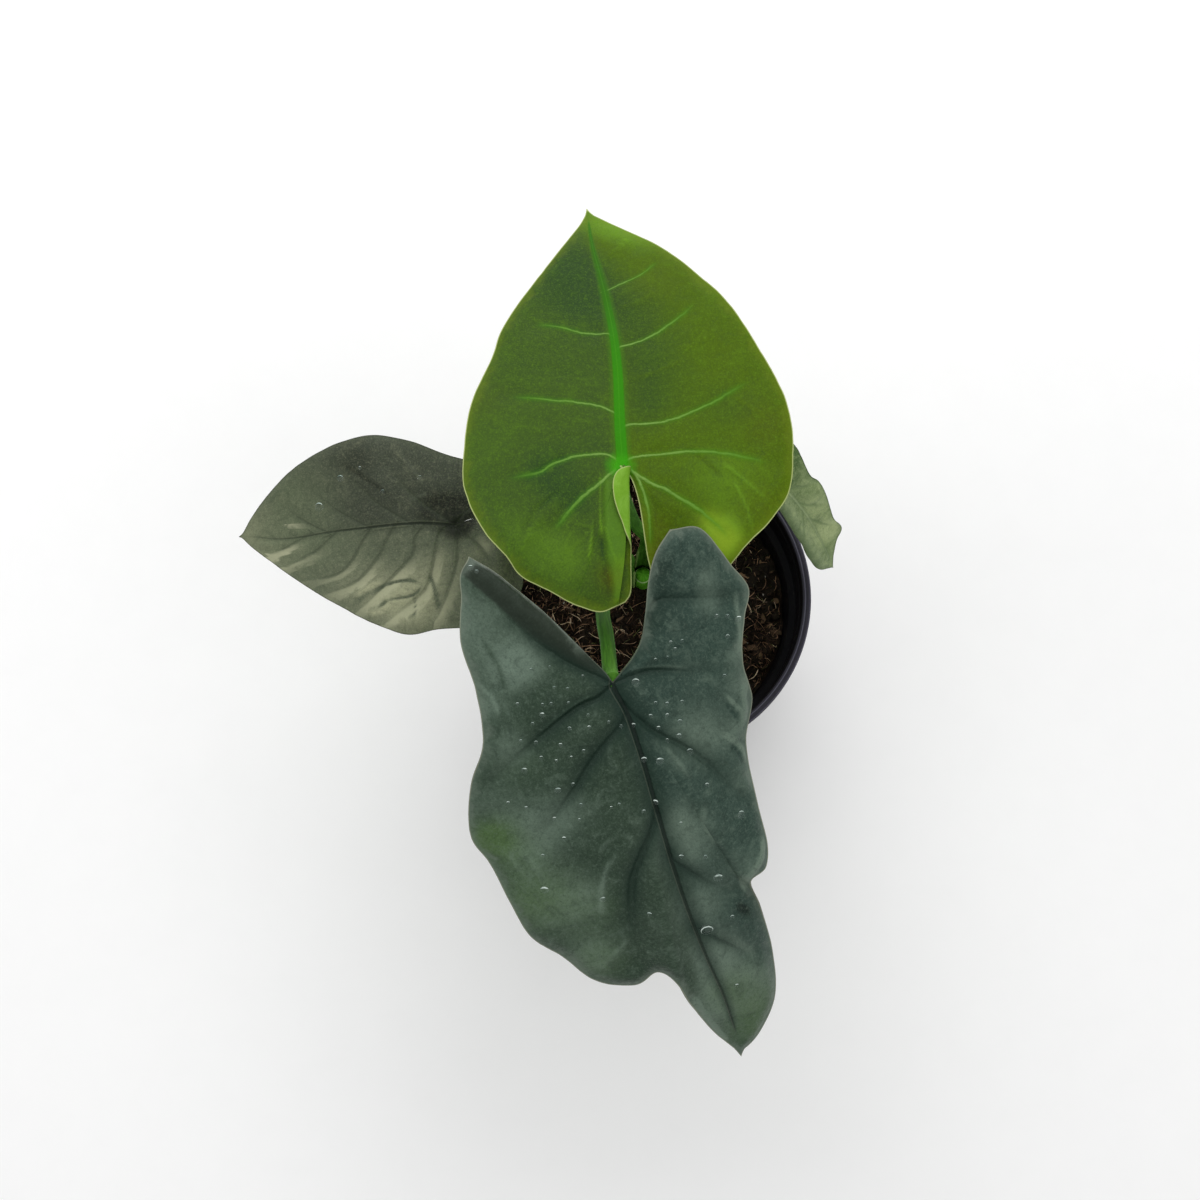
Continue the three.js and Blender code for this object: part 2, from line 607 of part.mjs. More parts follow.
// Height of the soil's surface: long low swells with a slight mound round the crown.
function soilHeight(x, y) {
  const mound = 3.5 * Math.exp(-(((x - CROWN.centre[0]) ** 2 + (y - CROWN.centre[1]) ** 2) / 450));
  const swell = Math.sin(x * 0.19 + 1.3) * Math.cos(y * 0.23 - 0.4) + 0.6 * Math.sin(x * 0.41 - y * 0.37 + 2);
  return SOIL.top + mound + SOIL.swell * 0.5 * swell;
}

function soilGeometry() {
  const points = [];
  const triangles = [];
  const bottom = FLOOR_TOP + GAP;
  const inset = POT.wall + GAP + 0.2;
  for (let ring = 0; ring <= SOIL.rings; ring += 1) {
    for (let i = 0; i < SOIL.sides; i += 1) {
      const angle = (2 * Math.PI * (i + (ring % 2) / 2)) / SOIL.sides;
      const [x, y] = flat(angle, ((wallRadius(SOIL.top) - inset) * (ring + 0.35)) / (SOIL.rings + 0.35));
      points.push([x, y, soilHeight(x, y)]);
    }
  }
  const last = SOIL.rings * SOIL.sides;
  for (let i = 0; i < SOIL.sides; i += 1) {
    const angle = (2 * Math.PI * (i + (SOIL.rings % 2) / 2)) / SOIL.sides;
    const [x, y] = flat(angle, wallRadius(bottom) - inset - 1.4);
    points.push([x, y, bottom]);
  }
  points.push([0, 0, soilHeight(0, 0)], [0, 0, bottom]);
  const topMiddle = points.length - 2;
  const lowMiddle = points.length - 1;
  for (let i = 0; i < SOIL.sides; i += 1) {
    const next = (i + 1) % SOIL.sides;
    triangles.push([topMiddle, i, next]);
    for (let ring = 0; ring < SOIL.rings; ring += 1) {
      const [a, b] = [ring * SOIL.sides + i, ring * SOIL.sides + next];
      const [c, d] = [a + SOIL.sides, b + SOIL.sides];
      if (ring % 2 === 0) triangles.push([a, c, b], [b, c, d]);
      else triangles.push([a, c, d], [a, d, b]);
    }
    const low = last + SOIL.sides;
    triangles.push([last + i, low + i, low + next], [last + i, low + next, last + next]);
    triangles.push([low + i, lowMiddle, low + next]);
  }
  const hole = crownReach() + CROWN.gap;
  const top = SOIL.top + 20;
  const shaft = turned([[0, CORM.waist], [hole, CORM.waist], [hole, top], [0, top]], 28, CROWN.centre);
  const body = solid(meshGeometry(points, triangles)).subtract(cormBody(GAP + 0.15));
  return geometryOf(body.subtract(solid(shaft)));
}

// Assembly

const plant = new THREE.Group();

function add(name, geometry, colour, roughness) {
  const material = new THREE.MeshStandardMaterial({ color: colour, roughness, metalness: 0 });
  const mesh = new THREE.Mesh(geometry, material);
  mesh.name = name;
  plant.add(mesh);
}

add("pot", potGeometry(), 0x121216, 0.45);
add("soil", soilGeometry(), 0x2e2219, 0.95);
add("corm_and_roots", geometryOf(cormBody(0)), 0x4f3c29, 0.9);
add("bud_sheath", budGeometry(), 0x1f4208, 0.5);
for (const [name, stem] of Object.entries(STEMS)) {
  add(name, stemGeometry(name), stem.colour, 0.5);
}
for (const [name, leaf] of Object.entries(LEAVES)) {
  add(name, bladeGeometry(leaf), leaf.colour, 0.45);
}

export default plant;
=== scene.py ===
# Looks of a potted aroid: fine blades, stems, soil and pot that take the place of the plain solids.
# Shapes are worked out in millimetres and turned into metres when a mesh is made.
import math

import bmesh
import bpy
import numpy as np
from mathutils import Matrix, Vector
from mathutils.bvhtree import BVHTree


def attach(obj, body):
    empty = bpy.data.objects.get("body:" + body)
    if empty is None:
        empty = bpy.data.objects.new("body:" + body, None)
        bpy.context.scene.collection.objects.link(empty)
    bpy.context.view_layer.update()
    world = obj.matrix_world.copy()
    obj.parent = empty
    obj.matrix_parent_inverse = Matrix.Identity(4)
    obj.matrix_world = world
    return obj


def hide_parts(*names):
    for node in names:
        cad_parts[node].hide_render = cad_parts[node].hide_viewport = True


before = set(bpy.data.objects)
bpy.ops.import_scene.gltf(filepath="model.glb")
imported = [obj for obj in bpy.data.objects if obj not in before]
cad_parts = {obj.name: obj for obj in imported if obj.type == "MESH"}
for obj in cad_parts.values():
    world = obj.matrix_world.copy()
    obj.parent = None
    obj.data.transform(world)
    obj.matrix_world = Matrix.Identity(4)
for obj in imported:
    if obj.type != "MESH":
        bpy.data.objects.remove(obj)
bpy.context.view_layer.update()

MM = 0.001

# Dimensions, the same as in the solids

POT = {
    "height": 105, "rim": 60, "lip_width": 3.3, "lip_depth": 3.4, "collar": 18, "collar_top": 58.1,
    "collar_foot": 57.2, "ledge": 2.6, "base": 42, "wall": 1.3, "floor": 1.9, "recess": 2, "foot": 3,
    "pad": 12, "holes": 8, "hole": 4, "hole_ring": 27, "sides": 192,
}
SOIL = {"top": 79, "swell": 2.2, "rings": 118, "sides": 300}
# bud: its radius. body and wing: how thick a sheath is in its middle and at its edges. gap: the free space
# between bud and sheaths. narrowing: how much thinner the crown is at its neck than at its foot.
CROWN = {
    "centre": (-2.1, 10.9), "foot": 75.3, "bud": 3.7, "bud_top": 92.5, "neck": 113,
    "body": 3.2, "wing": 0.8, "gap": 0.6, "narrowing": 0.1,
}
# Stems of level 1 wrap those of level 0. side and span: the way a sheath faces and half its width, in
# degrees. top: where it has closed into a stalk. radius and tip: the stalk's radius there and at the blade.
# way: points on the stalk's middle line.
STEMS = {
    "petiole_young": {
        "level": 0, "side": 84, "span": 56, "top": 128, "radius": 2.3, "tip": 1.9,
        "way": [(-5.6, 16.2, 146), (-9.1, 14.2, 180), (-11.6, 11.7, 215)], "look": "stem_green",
    },
    "petiole_front": {
        "level": 0, "side": 188, "span": 40, "top": 120, "radius": 2.6, "tip": 2.35,
        "way": [(-12.6, -0.3, 148), (-16.1, -13.8, 181), (-17.6, -28.8, 211), (-16.2, -41.3, 227)],
        "look": "stem_green",
    },
    "petiole_left": {
        "level": 1, "side": 168, "span": 66, "top": 106, "radius": 2.1, "tip": 1.6,
        "way": [(-17.6, 11.7, 130), (-33.6, 9.7, 160), (-52.6, 5.7, 184)], "look": "stem_dark",
    },
    "petiole_right": {
        "level": 1, "side": 20, "span": 66, "top": 98, "radius": 1.9, "tip": 1.3,
        "way": [(12.4, 15.7, 120), (22.9, 23.2, 141), (30.9, 30.2, 154)], "look": "stem_dark",
    },
}

# Each blade is drawn flat, in millimetres along its midrib and to its left, from the point where its stem
# joins it. joint: that point. heading and fall: the way the blade points, and how steeply it goes down.
# bend and keel: how it curves ahead of and behind the joint, and how its left and right sides slope up.
# left, right: the outline up to the tip, and on from the tip. left_slot, right_slot, flap: the edges of the
# slot at the joint, and of the strip folded over there.
# waves: (share of the outline, width, height, how soon it fades inwards).
# curls: a crease between two points, and the bend past it along a part of the outline.
# midrib: its line; its width at the joint, how much of that it loses, and how that loss grows outwards.
# veins: [points, half width at the foot, how far they stand out below].
# creases: [points, how much lighter or darker, half width], partly painted highlights and shade on folds.
# patches: (along, left, radius, how much lighter or darker). tints, bright: the same for other colours.
# bright: spots of the fold colour, a painted glow of light through the blade
# patches: the blade's own mottling, and painted light and shade
# ridge, shade: lines beside the slot with a raised strip, or with a strip of painted shade.
# cushion, groove: how far the skin rises between the veins, and rises or sinks along them.
LEAVES = {
    "leaf_young": {
        "stem": "petiole_young", "joint": (-12.1, 10.7, 240), "heading": 96, "fall": 12,
        "look": "blade_young", "cushion": 0.4, "groove": 0.12,
        "bend": (0.0035, 0.008), "keel": (0.05, 0.05), "keel_round": 6,
        "left": [
            (-43.2, 5.4), (-44.7, 11.1), (-41.9, 17.7), (-37.3, 24.8), (-31.6, 33.4), (-25.5, 37.3),
            (-15.3, 44.1), (-2, 47.9), (13, 46.4), (28.6, 43), (44.8, 36.1), (58.6, 30.9), (80.4, 17.4),
            (101.5, 4.6), (111.7, 0),
        ],
        "right": [
            (111.7, 0), (100.7, -9.3), (85.8, -22.5), (67.4, -33.7), (53.7, -41), (36.7, -46.8),
            (21, -51.7), (7.6, -53.1), (-4.6, -51.8), (-14.6, -49), (-23, -42), (-28.8, -35),
            (-34.3, -29.4), (-40.4, -24.2), (-43.2, -16.4), (-42.5, -10),
        ],
        "left_slot": [(-1, -1.1), (-12, -0.1), (-23, 1), (-30, 2.2), (-36, 3.6), (-40.5, 4.8)],
        "flap": [
            (-1.2, -4), (-3.5, -7.6), (-7.3, -8.9), (-12.2, -8.3), (-16.3, -6.8), (-19.5, -5.2),
            (-23.3, -3.5), (-27.5, -0.8), (-31.5, 0), (-36, 0.3), (-40, 1.2), (-42.4, 3.2),
        ],
        "right_slot": [(-3.9, -2.5), (-10.5, -3.9), (-17.8, -4.4), (-24.8, -4.6), (-31, -5), (-38, -6.6)],
        "waves": [
            (0.2, 0.04, 1.6, 4), (0.36, 0.05, -1.8, 4), (0.62, 0.05, 1.4, 4), (0.8, 0.05, -2.4, 3),
            (0.95, 0.06, -4, 1.5),
        ],
        "curls": [
            {"from": (-50, 3.4), "to": (0, -1.3), "radius": 1.4,
             "turn": 165, "up": 1, "part": (0, 0.3), "fade": 0.02},
        ],
        "midrib": [
            (0, 0), (2, -0.6), (15, -1.3), (32.8, -2.6), (48.6, -2.9), (64.4, -2.2), (77.9, -1.2),
            (91.5, -0.1), (109, 0),
        ],
        "midrib_width": 3.4, "midrib_taper": 0.9, "midrib_power": 1.6, "tip_length": 2.2,
        "bright": [(-24, -27, 4.5, 0.9), (-30, -27, 4, 0.9), (-27, -31, 3, 0.6), (-20, -24, 3, 0.5)],
        "creases": [
            [[(39, -23), (41, -28.5), (44.5, -33.5), (47, -38)], 0.35, 0.5],
            [[(20, -37), (15, -41), (11, -46)], 0.35, 0.5], [[(-8, -33), (-18, -36), (-27, -37)], 0.4, 0.5],
            [[(-2, -30), (-12, -39), (-18, -44)], 0.35, 0.5], [[(31, -6), (32, -15), (36, -24)], 0.2, 0.6],
            [[(60, -5), (62, -13), (66, -19)], 0.2, 0.6], [[(4, -20), (-2, -26), (-8, -30)], -0.3, 0.7],
            [[(33, 4), (36, 14), (39, 26)], -0.25, 0.8], [[(6, 14), (2, 22), (-3, 30)], -0.35, 0.8],
            [[(-6, 18), (-12, 26), (-20, 32)], -0.3, 0.7], [[(60, 6), (64, 14), (67, 20)], -0.2, 0.7],
            [[(12, 6), (14, 18), (16, 30)], 0.2, 0.6], [[(85, -4), (89, -9), (94, -13)], 0.3, 0.5],
            [[(76, -4), (80, -10), (86, -16)], 0.25, 0.5],
            [[(1, 7), (-3.2, 6.6), (-13.5, 7.8), (-25, 8.2)], 0.8, 0.5],
            [[(-20, 8.4), (-30, 8.2), (-42, 7.6)], -1.0, 0.9],
            [[(-18, 7.2), (-26, 5.8), (-33, 4)], 0.6, 0.4],
            [[(-14, 9.6), (-23, 11.4), (-30, 13)], 0.5, 0.4],
        ],
        "ridge": [(1, 7), (-3.2, 6.6), (-13.5, 7.8), (-27.9, 8.4), (-34.6, 7.4), (-43.1, 7.8)],
        "veins": [
            [[(1.5, -1.2), (2.6, -5), (2.5, -14.4), (1.8, -24.6), (-1.5, -37), (-5, -45.9)], 0.75, 0.5],
            [[(11.5, -1.2), (13.8, -3.7), (13.6, -13.8), (15.6, -22.1), (18.6, -31.1), (22.3, -38.4),
              (25.2, -44)], 0.7, 0.45],
            [[(42.5, -2.8), (43.8, -4.4), (45.7, -12.5), (49.9, -19.9), (54, -25.8),
              (58.2, -30.3)], 0.65, 0.4],
            [[(68.5, -2), (70.3, -6), (74, -14), (79.4, -21.1)], 0.35, 0.3],
            [[(0, -1), (-5.3, -6.8), (-10.9, -14.6), (-17.3, -22.3), (-24.2, -28),
              (-28.2, -30.3)], 1.0, 0.6],
            [[(-1, -2.6), (-4, -4.4), (-9.9, -6.2), (-19.8, -6.6), (-28.4, -5.9)], 0.8, 0.5],
            [[(1.5, 0.6), (4.5, 4), (4.8, 12.9), (3, 19.7), (0.2, 25.1), (-1.2, 35.5)], 0.75, 0.5],
            [[(17.5, -1), (19.9, 1), (23.3, 7.7), (25.3, 17.7), (28.5, 32.3)], 0.6, 0.45],
            [[(48.5, -2.4), (50.1, -0.9), (51, 6.6), (54.8, 15.2), (56.3, 22.3)], 0.5, 0.4],
            [[(0, 0.6), (-1.5, 2.2), (-5.7, 7.8), (-10.7, 14.4), (-15.7, 19.1), (-19.8, 22.8)], 1.1, 0.5],
        ],
        "patches": [
            (40, 22, 24, -0.1), (82, 8, 18, -0.9), (62, 6, 12, -0.3), (14, 34, 18, 0.2),
            (-20, 26, 14, 0.38), (-30, 16, 9, 0.35), (-10, 15, 8, -0.8), (-3, 25, 9, -0.5),
            (3, 22, 8, -0.6), (8, 8, 8, -0.3), (-33, 8, 9, -0.25), (103, -6, 13, 0.9), (92, -15, 10, 0.4),
            (80, -22, 14, 0.2), (58, -9, 16, -0.5), (60, -36, 10, 0.25), (35, -12, 14, -0.5),
            (30, -40, 12, 0.15), (14, -36, 12, -0.45), (18, -10, 10, -0.45), (-6, -32, 16, 0.45),
            (-30, -20, 9, 0.2), (-31, 2.6, 2.4, 1.0), (-25, -28, 4.5, 1.6), (-31, -26, 4, 0.8),
            (-12, -12, 8, -0.2),
        ],
        "tints": [
            (-36, 3, 6, 0.6), (-33, 8, 6, 0.2), (-22, -8, 8, 0.4), (-34, -8, 7, 0.45), (8, -46, 12, 0.3),
            (-18, -42, 12, 0.3), (36, -36, 12, 0.15), (70, -20, 16, 0.2), (28, 40, 10, 0.2),
        ],
    },
    "leaf_front": {
        "stem": "petiole_front", "joint": (-14.6, -55.3, 240), "heading": -69, "fall": 24,
        "look": "blade_dark", "cushion": 1.2, "groove": -0.35,
        "bend": (0.0033, 0.001), "keel": (-0.14, -0.14), "keel_round": 6,
        "left": [
            (-36.8, 31), (-33.8, 39.7), (-21.1, 44.7), (-11.6, 47.9), (-3.4, 43.7), (8.6, 39.1),
            (22.7, 38.6), (36.9, 32.8), (56.8, 30.3), (71, 29.2), (77.1, 26.3), (78.8, 20.1), (92.6, 21.1),
            (113.6, 21.1), (133.9, 17.8), (145.4, 9), (149.9, 0.7),
        ],
        "right": [
            (149.9, 0.7), (133.8, -5.8), (115.8, -10.2), (104.6, -12.2), (100.9, -16.5), (105.6, -24.5),
            (100.1, -35.8), (86.5, -42.8), (74.5, -49.6), (60.9, -51.6), (45.3, -53.2), (33, -55.7),
            (16.4, -50.1), (4, -42.1), (-11.4, -38.9), (-25.7, -38.1), (-39, -33.2), (-45.7, -31.1),
            (-50, -26),
        ],
        "left_slot": [(-2, 3.4), (-4.5, 7.6), (-8.7, 12.1), (-16.1, 16), (-24.8, 20), (-31.8, 24.7)],
        "right_slot": [(-4.5, -1.4), (-10, -3.8), (-18, -6.4), (-27.2, -9.6), (-36, -14.4), (-43.5, -19)],
        "waves": [
            (0.05, 0.08, 4, 1.5), (0.15, 0.035, 2, 3), (0.22, 0.05, -4, 3), (0.335, 0.03, 3.5, 3),
            (0.42, 0.04, -3, 4), (0.575, 0.03, 4, 3), (0.68, 0.05, -3.5, 3), (0.79, 0.035, -3, 3),
            (0.87, 0.04, 2.5, 3),
        ],
        "curls": [
            {"from": (0.3, -0.6), "to": (-47.5, -29), "radius": 2.5,
             "turn": 65, "up": -1, "part": (0.75, 1), "fade": 0.02},
        ],
        "midrib": [
            (0, 0), (2.1, -0.4), (9.9, 0.9), (19.2, 0.9), (29.3, 0.6), (39.3, 0), (51.5, -0.6),
            (63.2, -1.1), (77.3, -1.2), (90.7, -0.8), (103.7, -0.1), (120.3, 1.2), (142.9, 1.4),
        ],
        "midrib_width": 1.3, "midrib_taper": 0.75, "tip_length": 2.4,
        "shade": [(-0.5, -1.2), (-12, -12), (-24, -20), (-36, -26), (-48, -32.5)],
        "creases": [
            [[(-1.3, 2), (-1.2, 9), (1.2, 16), (5, 24)], 0.5, 0.5],
            [[(1.5, -5), (2.2, -11.5), (4.4, -18.5), (7.5, -26.5)], 0.45, 0.5],
            [[(13, 41), (19, 36.5), (25, 35.5), (30, 33.5)], 1.1, 0.9],
            [[(16.5, 30.5), (20, 32), (25, 34), (31, 32.5)], 0.8, 0.6],
            [[(20, 30), (24, 31.5), (27, 32)], -0.7, 0.5],
            [[(27, 25), (32, 28), (37, 30.5), (42, 31)], 0.9, 0.6],
            [[(33, 27), (37, 28.5), (41, 29.5)], -0.8, 0.5],
            [[(-14, 44), (-8, 42.5), (0, 41), (8, 38)], 0.7, 0.9],
            [[(66, 28.5), (72, 26), (78, 18.5), (85, 18.5)], 1.2, 1.1],
            [[(86, 13), (89, 15), (92, 17.5)], -1.4, 1.6],
            [[(112, -9), (122, -7.3), (132, -4.8), (143, -1.6)], 1.3, 0.9],
            [[(-30, 37), (-26, 30), (-20, 26)], 0.4, 0.8],
            [[(28, -52), (36, -50), (44, -46), (52, -44)], 0.5, 0.7],
            [[(40, -44), (50, -40), (62, -40)], 0.45, 0.7],
            [[(52, -14), (56, -20), (64, -24), (74, -27)], 0.5, 0.8],
            [[(60, -34), (66, -36), (72, -34)], 0.4, 0.7], [[(24, 8), (30, 10), (38, 12)], 0.3, 0.8],
            [[(84, -20), (90, -28), (94, -34)], 0.5, 0.8], [[(-14, -38), (-8, -35), (-2, -35)], 0.5, 0.6],
            [[(-26, -32), (-16, -30), (-8, -31)], -0.4, 0.8], [[(96, 8), (104, 12), (112, 15)], 0.35, 0.9],
            [[(46, 14), (54, 12), (62, 14)], 0.3, 0.8],
        ],
        "veins": [
            [[(1, -0.4), (3.2, -6), (3.6, -11.8), (5.9, -18.8), (9.1, -26.8), (12.9, -35),
              (17.1, -44.2)], 1.3, 0.6],
            [[(11, 0), (13.6, -2.5), (20, -12.4), (27.6, -20.8), (34.7, -29.4), (42, -38)], 1.3, 0.5],
            [[(43, -0.6), (46.3, -1.9), (62.1, -13.3), (73, -17.2), (84.9, -19.8), (97, -21.4)], 1.6, 0.5],
            [[(0.5, 0.8), (0.4, 8.9), (2.8, 16.2), (8, 26.9)], 0.8, 0.45],
            [[(-2, 4), (-9, 12.5), (-17.9, 19.6), (-16.4, 27.2), (-12.3, 38), (-8.4, 44.9)], 0.9, 0.4],
            [[(7, 0.7), (10.1, 1.6), (19, 6.7), (26, 12.6), (34.5, 18.2), (43.5, 21.9),
              (56.2, 27.5)], 1.2, 0.5],
            [[(58, -1), (61.6, -0.6), (72.1, 6), (80, 12)], 1.0, 0.4],
            [[(88, -0.8), (97, 5.5), (108, 13)], 0.6, 0.3],
            [[(-0.5, -1.2), (-12, -12), (-24, -20), (-36, -26)], 0.9, 0.4],
        ],
        "patches": [
            (-32, -34, 12, 0.6), (-14, -31, 10, 0.4), (8, -33, 9, 0.35), (3, -21, 7, -0.35),
            (-13, 13, 6, -0.25), (25, -48, 11, 0.35), (39, -40, 11, 0.7), (33, -25, 9, 0.45),
            (62, -42, 12, 0.65), (66, -30, 9, 0.55), (88, -33, 9, 0.75), (19, -14, 9, -0.35),
            (-15, -23, 7, 0.8), (9, -37, 6, 0.3), (3, 2, 9, -0.45), (-14, 20, 7, -0.3), (-12, 35, 5, 0.5),
            (-29, 20, 10, -0.75), (-34, 32, 6, 0.15), (4, 24, 8, 0.15), (16, 36, 6, 0.55), (6, 37, 4, 0.5),
            (-20, 36, 4, 0.6), (30, 31, 5, 0.5), (-6, -38, 4, 0.5), (26, 18, 11, 0.7), (40, 8, 8, -0.1),
            (46, 30, 7, 0.5), (56, 4, 11, 0.75), (46, 4, 7, 0.35), (72, 20, 7, 0.4), (80, 2, 10, 0.65),
            (70, -16, 6, -0.35), (98, -20, 7, -0.3), (104, -12, 6, -0.5), (101, 2, 9, 0.9),
            (116, 2, 10, 0.95), (122, 10, 9, 0.7), (126, 10, 8, 0.3), (128, -4, 8, 0.4), (142, 5, 8, 0.2),
        ],
        "tints": [
            (60, -44, 14, 0.6), (90, -32, 10, 0.45), (38, -46, 10, 0.4), (35, -51, 7, 0.8),
            (14, -34, 9, 0.2), (116, 3, 10, 0.4), (130, 10, 12, 0.5), (142, 5, 9, 0.4), (70, -28, 10, 0.25),
        ],
    },
    "leaf_left": {
        "stem": "petiole_left", "joint": (-65.6, 3.7, 195), "heading": 178, "fall": 12,
        "look": "blade_silver", "cushion": 0.4, "groove": -0.3,
        "bend": (0.003, 0.002), "keel": (0.12, 0.16), "keel_round": 6,
        "left": [
            (-24.5, 13), (-25, 20), (-20.5, 27.5), (-10, 33.6), (3.3, 34.7), (12.4, 36.6), (23, 33.4),
            (37.5, 26.4), (54.7, 16.7), (72.5, 4.9), (78.8, 0),
        ],
        "right": [
            (78.8, 0), (73.3, -7.8), (61.5, -18.2), (50.1, -24.8), (39.1, -29.4), (28.2, -31.1),
            (15.5, -28.3), (3.6, -23.5), (-8, -20.5), (-18, -18.6), (-24.5, -13.5), (-24, -8.5),
        ],
        "left_slot": [(-4, -1.7), (-9, -2.8), (-14, -1.6), (-20, 4)],
        "right_slot": [(-4, -1.9), (-9, -3), (-14, -4.4), (-19, -6)],
        "waves": [(0.2, 0.05, -1.6, 3), (0.31, 0.05, 1.5, 3), (0.62, 0.05, 1.6, 3), (0.74, 0.05, -1.5, 3)],
        "curls": [
            {"from": (-11, 40), "to": (-15, 4), "radius": 6,
             "turn": 50, "up": -1, "part": (0, 0.4), "fade": 0.02},
        ],
        "midrib": [(0, 0), (0.3, 0), (13.7, -1.1), (40.7, 0.4), (60.9, 2), (78, -0.2)],
        "midrib_width": 1.0, "midrib_taper": 0.85, "tip_length": 0.8,
        "creases": [
            [[(9, 19.8), (14, 18.5), (20, 19.4), (26, 22.5), (33, 27.9)], -1.1, 0.5],
            [[(9, 19.8), (12, 23.4), (19, 25.2), (25, 28.8)], -1.0, 0.45],
            [[(7.5, 16), (5, 21.5), (3, 28.8)], -0.9, 0.5],
            [[(11.6, 23.4), (10.9, 28.8), (12.9, 32)], -0.9, 0.4],
            [[(17, 24), (22, 29), (27, 30)], 0.5, 0.8], [[(22, 19), (27, 20.5), (32, 24)], 0.5, 0.7],
            [[(58, -11.5), (54.7, -8), (54.4, -5.4)], 0.7, 0.5],
            [[(52, -16), (51, -13.8), (54, -12.9)], 0.6, 0.5],
            [[(75, 3.4), (66, 3.6), (57, 3.4)], 0.9, 0.6],
            [[(16, -8.4), (12.5, -9.8), (9, -10.6)], 0.8, 0.4],
            [[(30, 0.9), (22, -0.1), (14, -0.4)], 0.5, 0.4], [[(40, -5), (46, -10), (54, -15)], 0.35, 0.5],
            [[(22, -10), (32, -17), (40, -22)], -0.35, 0.7], [[(10, -12), (16, -20), (22, -26)], 0.35, 0.6],
        ],
        "veins": [
            [[(2, 0), (5.2, 2.6), (6.1, 8.8), (7.5, 19.7), (11.4, 24.8), (20.7, 32.9)], 0.8, 0.4],
            [[(10.5, -0.6), (13.3, 4.1), (13.6, 8.6), (16.3, 13), (26.2, 24.5), (30.3, 28)], 0.75, 0.35],
            [[(20.5, -0.6), (23.7, 5.2), (26.3, 11.1), (31.5, 17.7), (37.6, 20.5),
              (44.3, 22.3)], 0.75, 0.35],
            [[(29, -0.1), (31.6, 4.2), (35.5, 11.7), (41.1, 15.9), (52.4, 16.8)], 0.7, 0.3],
            [[(41, 0.4), (48.7, 7), (58.5, 11.5)], 0.55, 0.25],
            [[(52, 1.4), (60, 5), (66, 6.5)], 0.4, 0.2],
            [[(0.3, -0.4), (13.9, -9.9), (24, -20)], 0.7, 0.35],
            [[(15, -1), (28, -9), (40, -20)], 0.6, 0.3],
            [[(30, -0.3), (42, -7), (52, -15)], 0.5, 0.25],
            [[(45, 0.8), (56, -5), (62, -10)], 0.4, 0.2],
            [[(0, 0.4), (-4, 3.5), (-8.9, 7.3), (-15, 15)], 0.7, 0.35],
            [[(0, -0.6), (-5, -6), (-13, -13)], 0.6, 0.3],
            [[(-1, 2), (-1.5, 12), (0.5, 22), (4, 31)], 0.6, 0.3],
        ],
        "patches": [
            (12, 26, 11, 0.8), (24, 22, 9, 0.35), (36, 18, 10, 0.3), (70, 2, 9, 1.35), (64, -3, 8, 0.3),
            (55, 6, 9, 0.25), (5, 12, 8, 0.3), (20, -14, 12, -0.25), (-3, -4, 7, -1.1), (6, -5, 6, -1.0),
            (-2, 2, 4, -0.4), (30, -3, 10, -0.25), (-12, 18, 8, -0.1), (45, -12, 14, -0.25),
            (15, 8, 7, -0.1), (-16, 10, 7, -0.3), (-10, 8, 5, 0.45), (-12, -6, 6, 0.5), (24, -22, 8, 0.25),
            (6, -18, 8, 0.1), (62, 8, 8, 0.2), (10, -12, 12, -0.2), (31, -22, 7, -0.35),
            (38, -24, 7, -0.25),
        ],
        "tints": [
            (68, 0, 16, 0.7), (50, -14, 14, 0.5), (48, 8, 14, 0.45), (30, 10, 12, 0.2), (60, -14, 8, 0.3),
        ],
    },
    "leaf_right": {
        "stem": "petiole_right", "joint": (42.7, 26.7, 165), "heading": -38, "fall": 50,
        "look": "blade_grey", "cushion": 0.25, "groove": -0.2,
        "bend": (0.004, 0.004), "keel": (0.15, 0.15), "keel_round": 3,
        "left": [
            (-19, 4), (-17, 11), (-6.8, 12.3), (-1.9, 11.9), (5.5, 10.9), (10.3, 10.9), (15, 12.2),
            (22.2, 11.4), (30, 9.4), (35, 9.1), (40, 9.8), (42.8, 8.5), (44.9, 5.9), (50, 2.2),
            (55.2, -0.6),
        ],
        "right": [
            (55.2, -0.6), (51.5, -3.6), (46.5, -7.5), (38, -12), (28, -13.5), (16, -14), (5, -13.6),
            (-7, -13), (-15, -11), (-18.5, -6),
        ],
        "left_slot": [(-4, 1.6), (-9, 3), (-14, 4.4)],
        "right_slot": [(-4, -1), (-9, -2.4), (-14, -4)],
        "waves": [(0.1, 0.04, 0.8, 3), (0.21, 0.03, -0.6, 3), (0.29, 0.03, 0.5, 3), (0.37, 0.03, 0.5, 3)],
        "curls": [
            {"from": (-20, -1.2), "to": (60, -4.4), "radius": 2,
             "turn": 125, "up": -1, "part": (0.5, 0.8), "fade": 0.1},
        ],
        "midrib": [(0, 0), (12, 1.2), (26, 1.4), (40, 0.6), (52, -0.4)],
        "midrib_width": 0.9, "midrib_taper": 0.7, "tip_length": 0.5,
        "veins": [
            [[(4, 0.5), (9, 5), (13, 9)], 0.45, 0.2],
            [[(14, 1.2), (20, 5), (25, 9)], 0.45, 0.2],
            [[(24, 1.4), (31, 4.4), (37, 8)], 0.4, 0.2],
            [[(0, 0.3), (-6, 5), (-12, 9)], 0.5, 0.2],
            [[(4, 0.3), (10, -4), (17, -9)], 0.4, 0.2],
            [[(18, 1.2), (26, -3), (34, -7)], 0.4, 0.2],
        ],
        "patches": [
            (-8, 6, 10, -0.8), (0, 8, 5, -0.3), (22, 6, 8, 0.55), (38, 7, 5, 1.2), (34, 1, 6, 0.5),
            (10, 5, 6, 0.1), (48, 0, 6, -0.2), (3, 2.5, 3, -1.1),
        ],
        "tints": [(-10, 7, 12, 0.7), (15, 10, 8, 0.2), (45, 3, 8, 0.2)],
    },
}

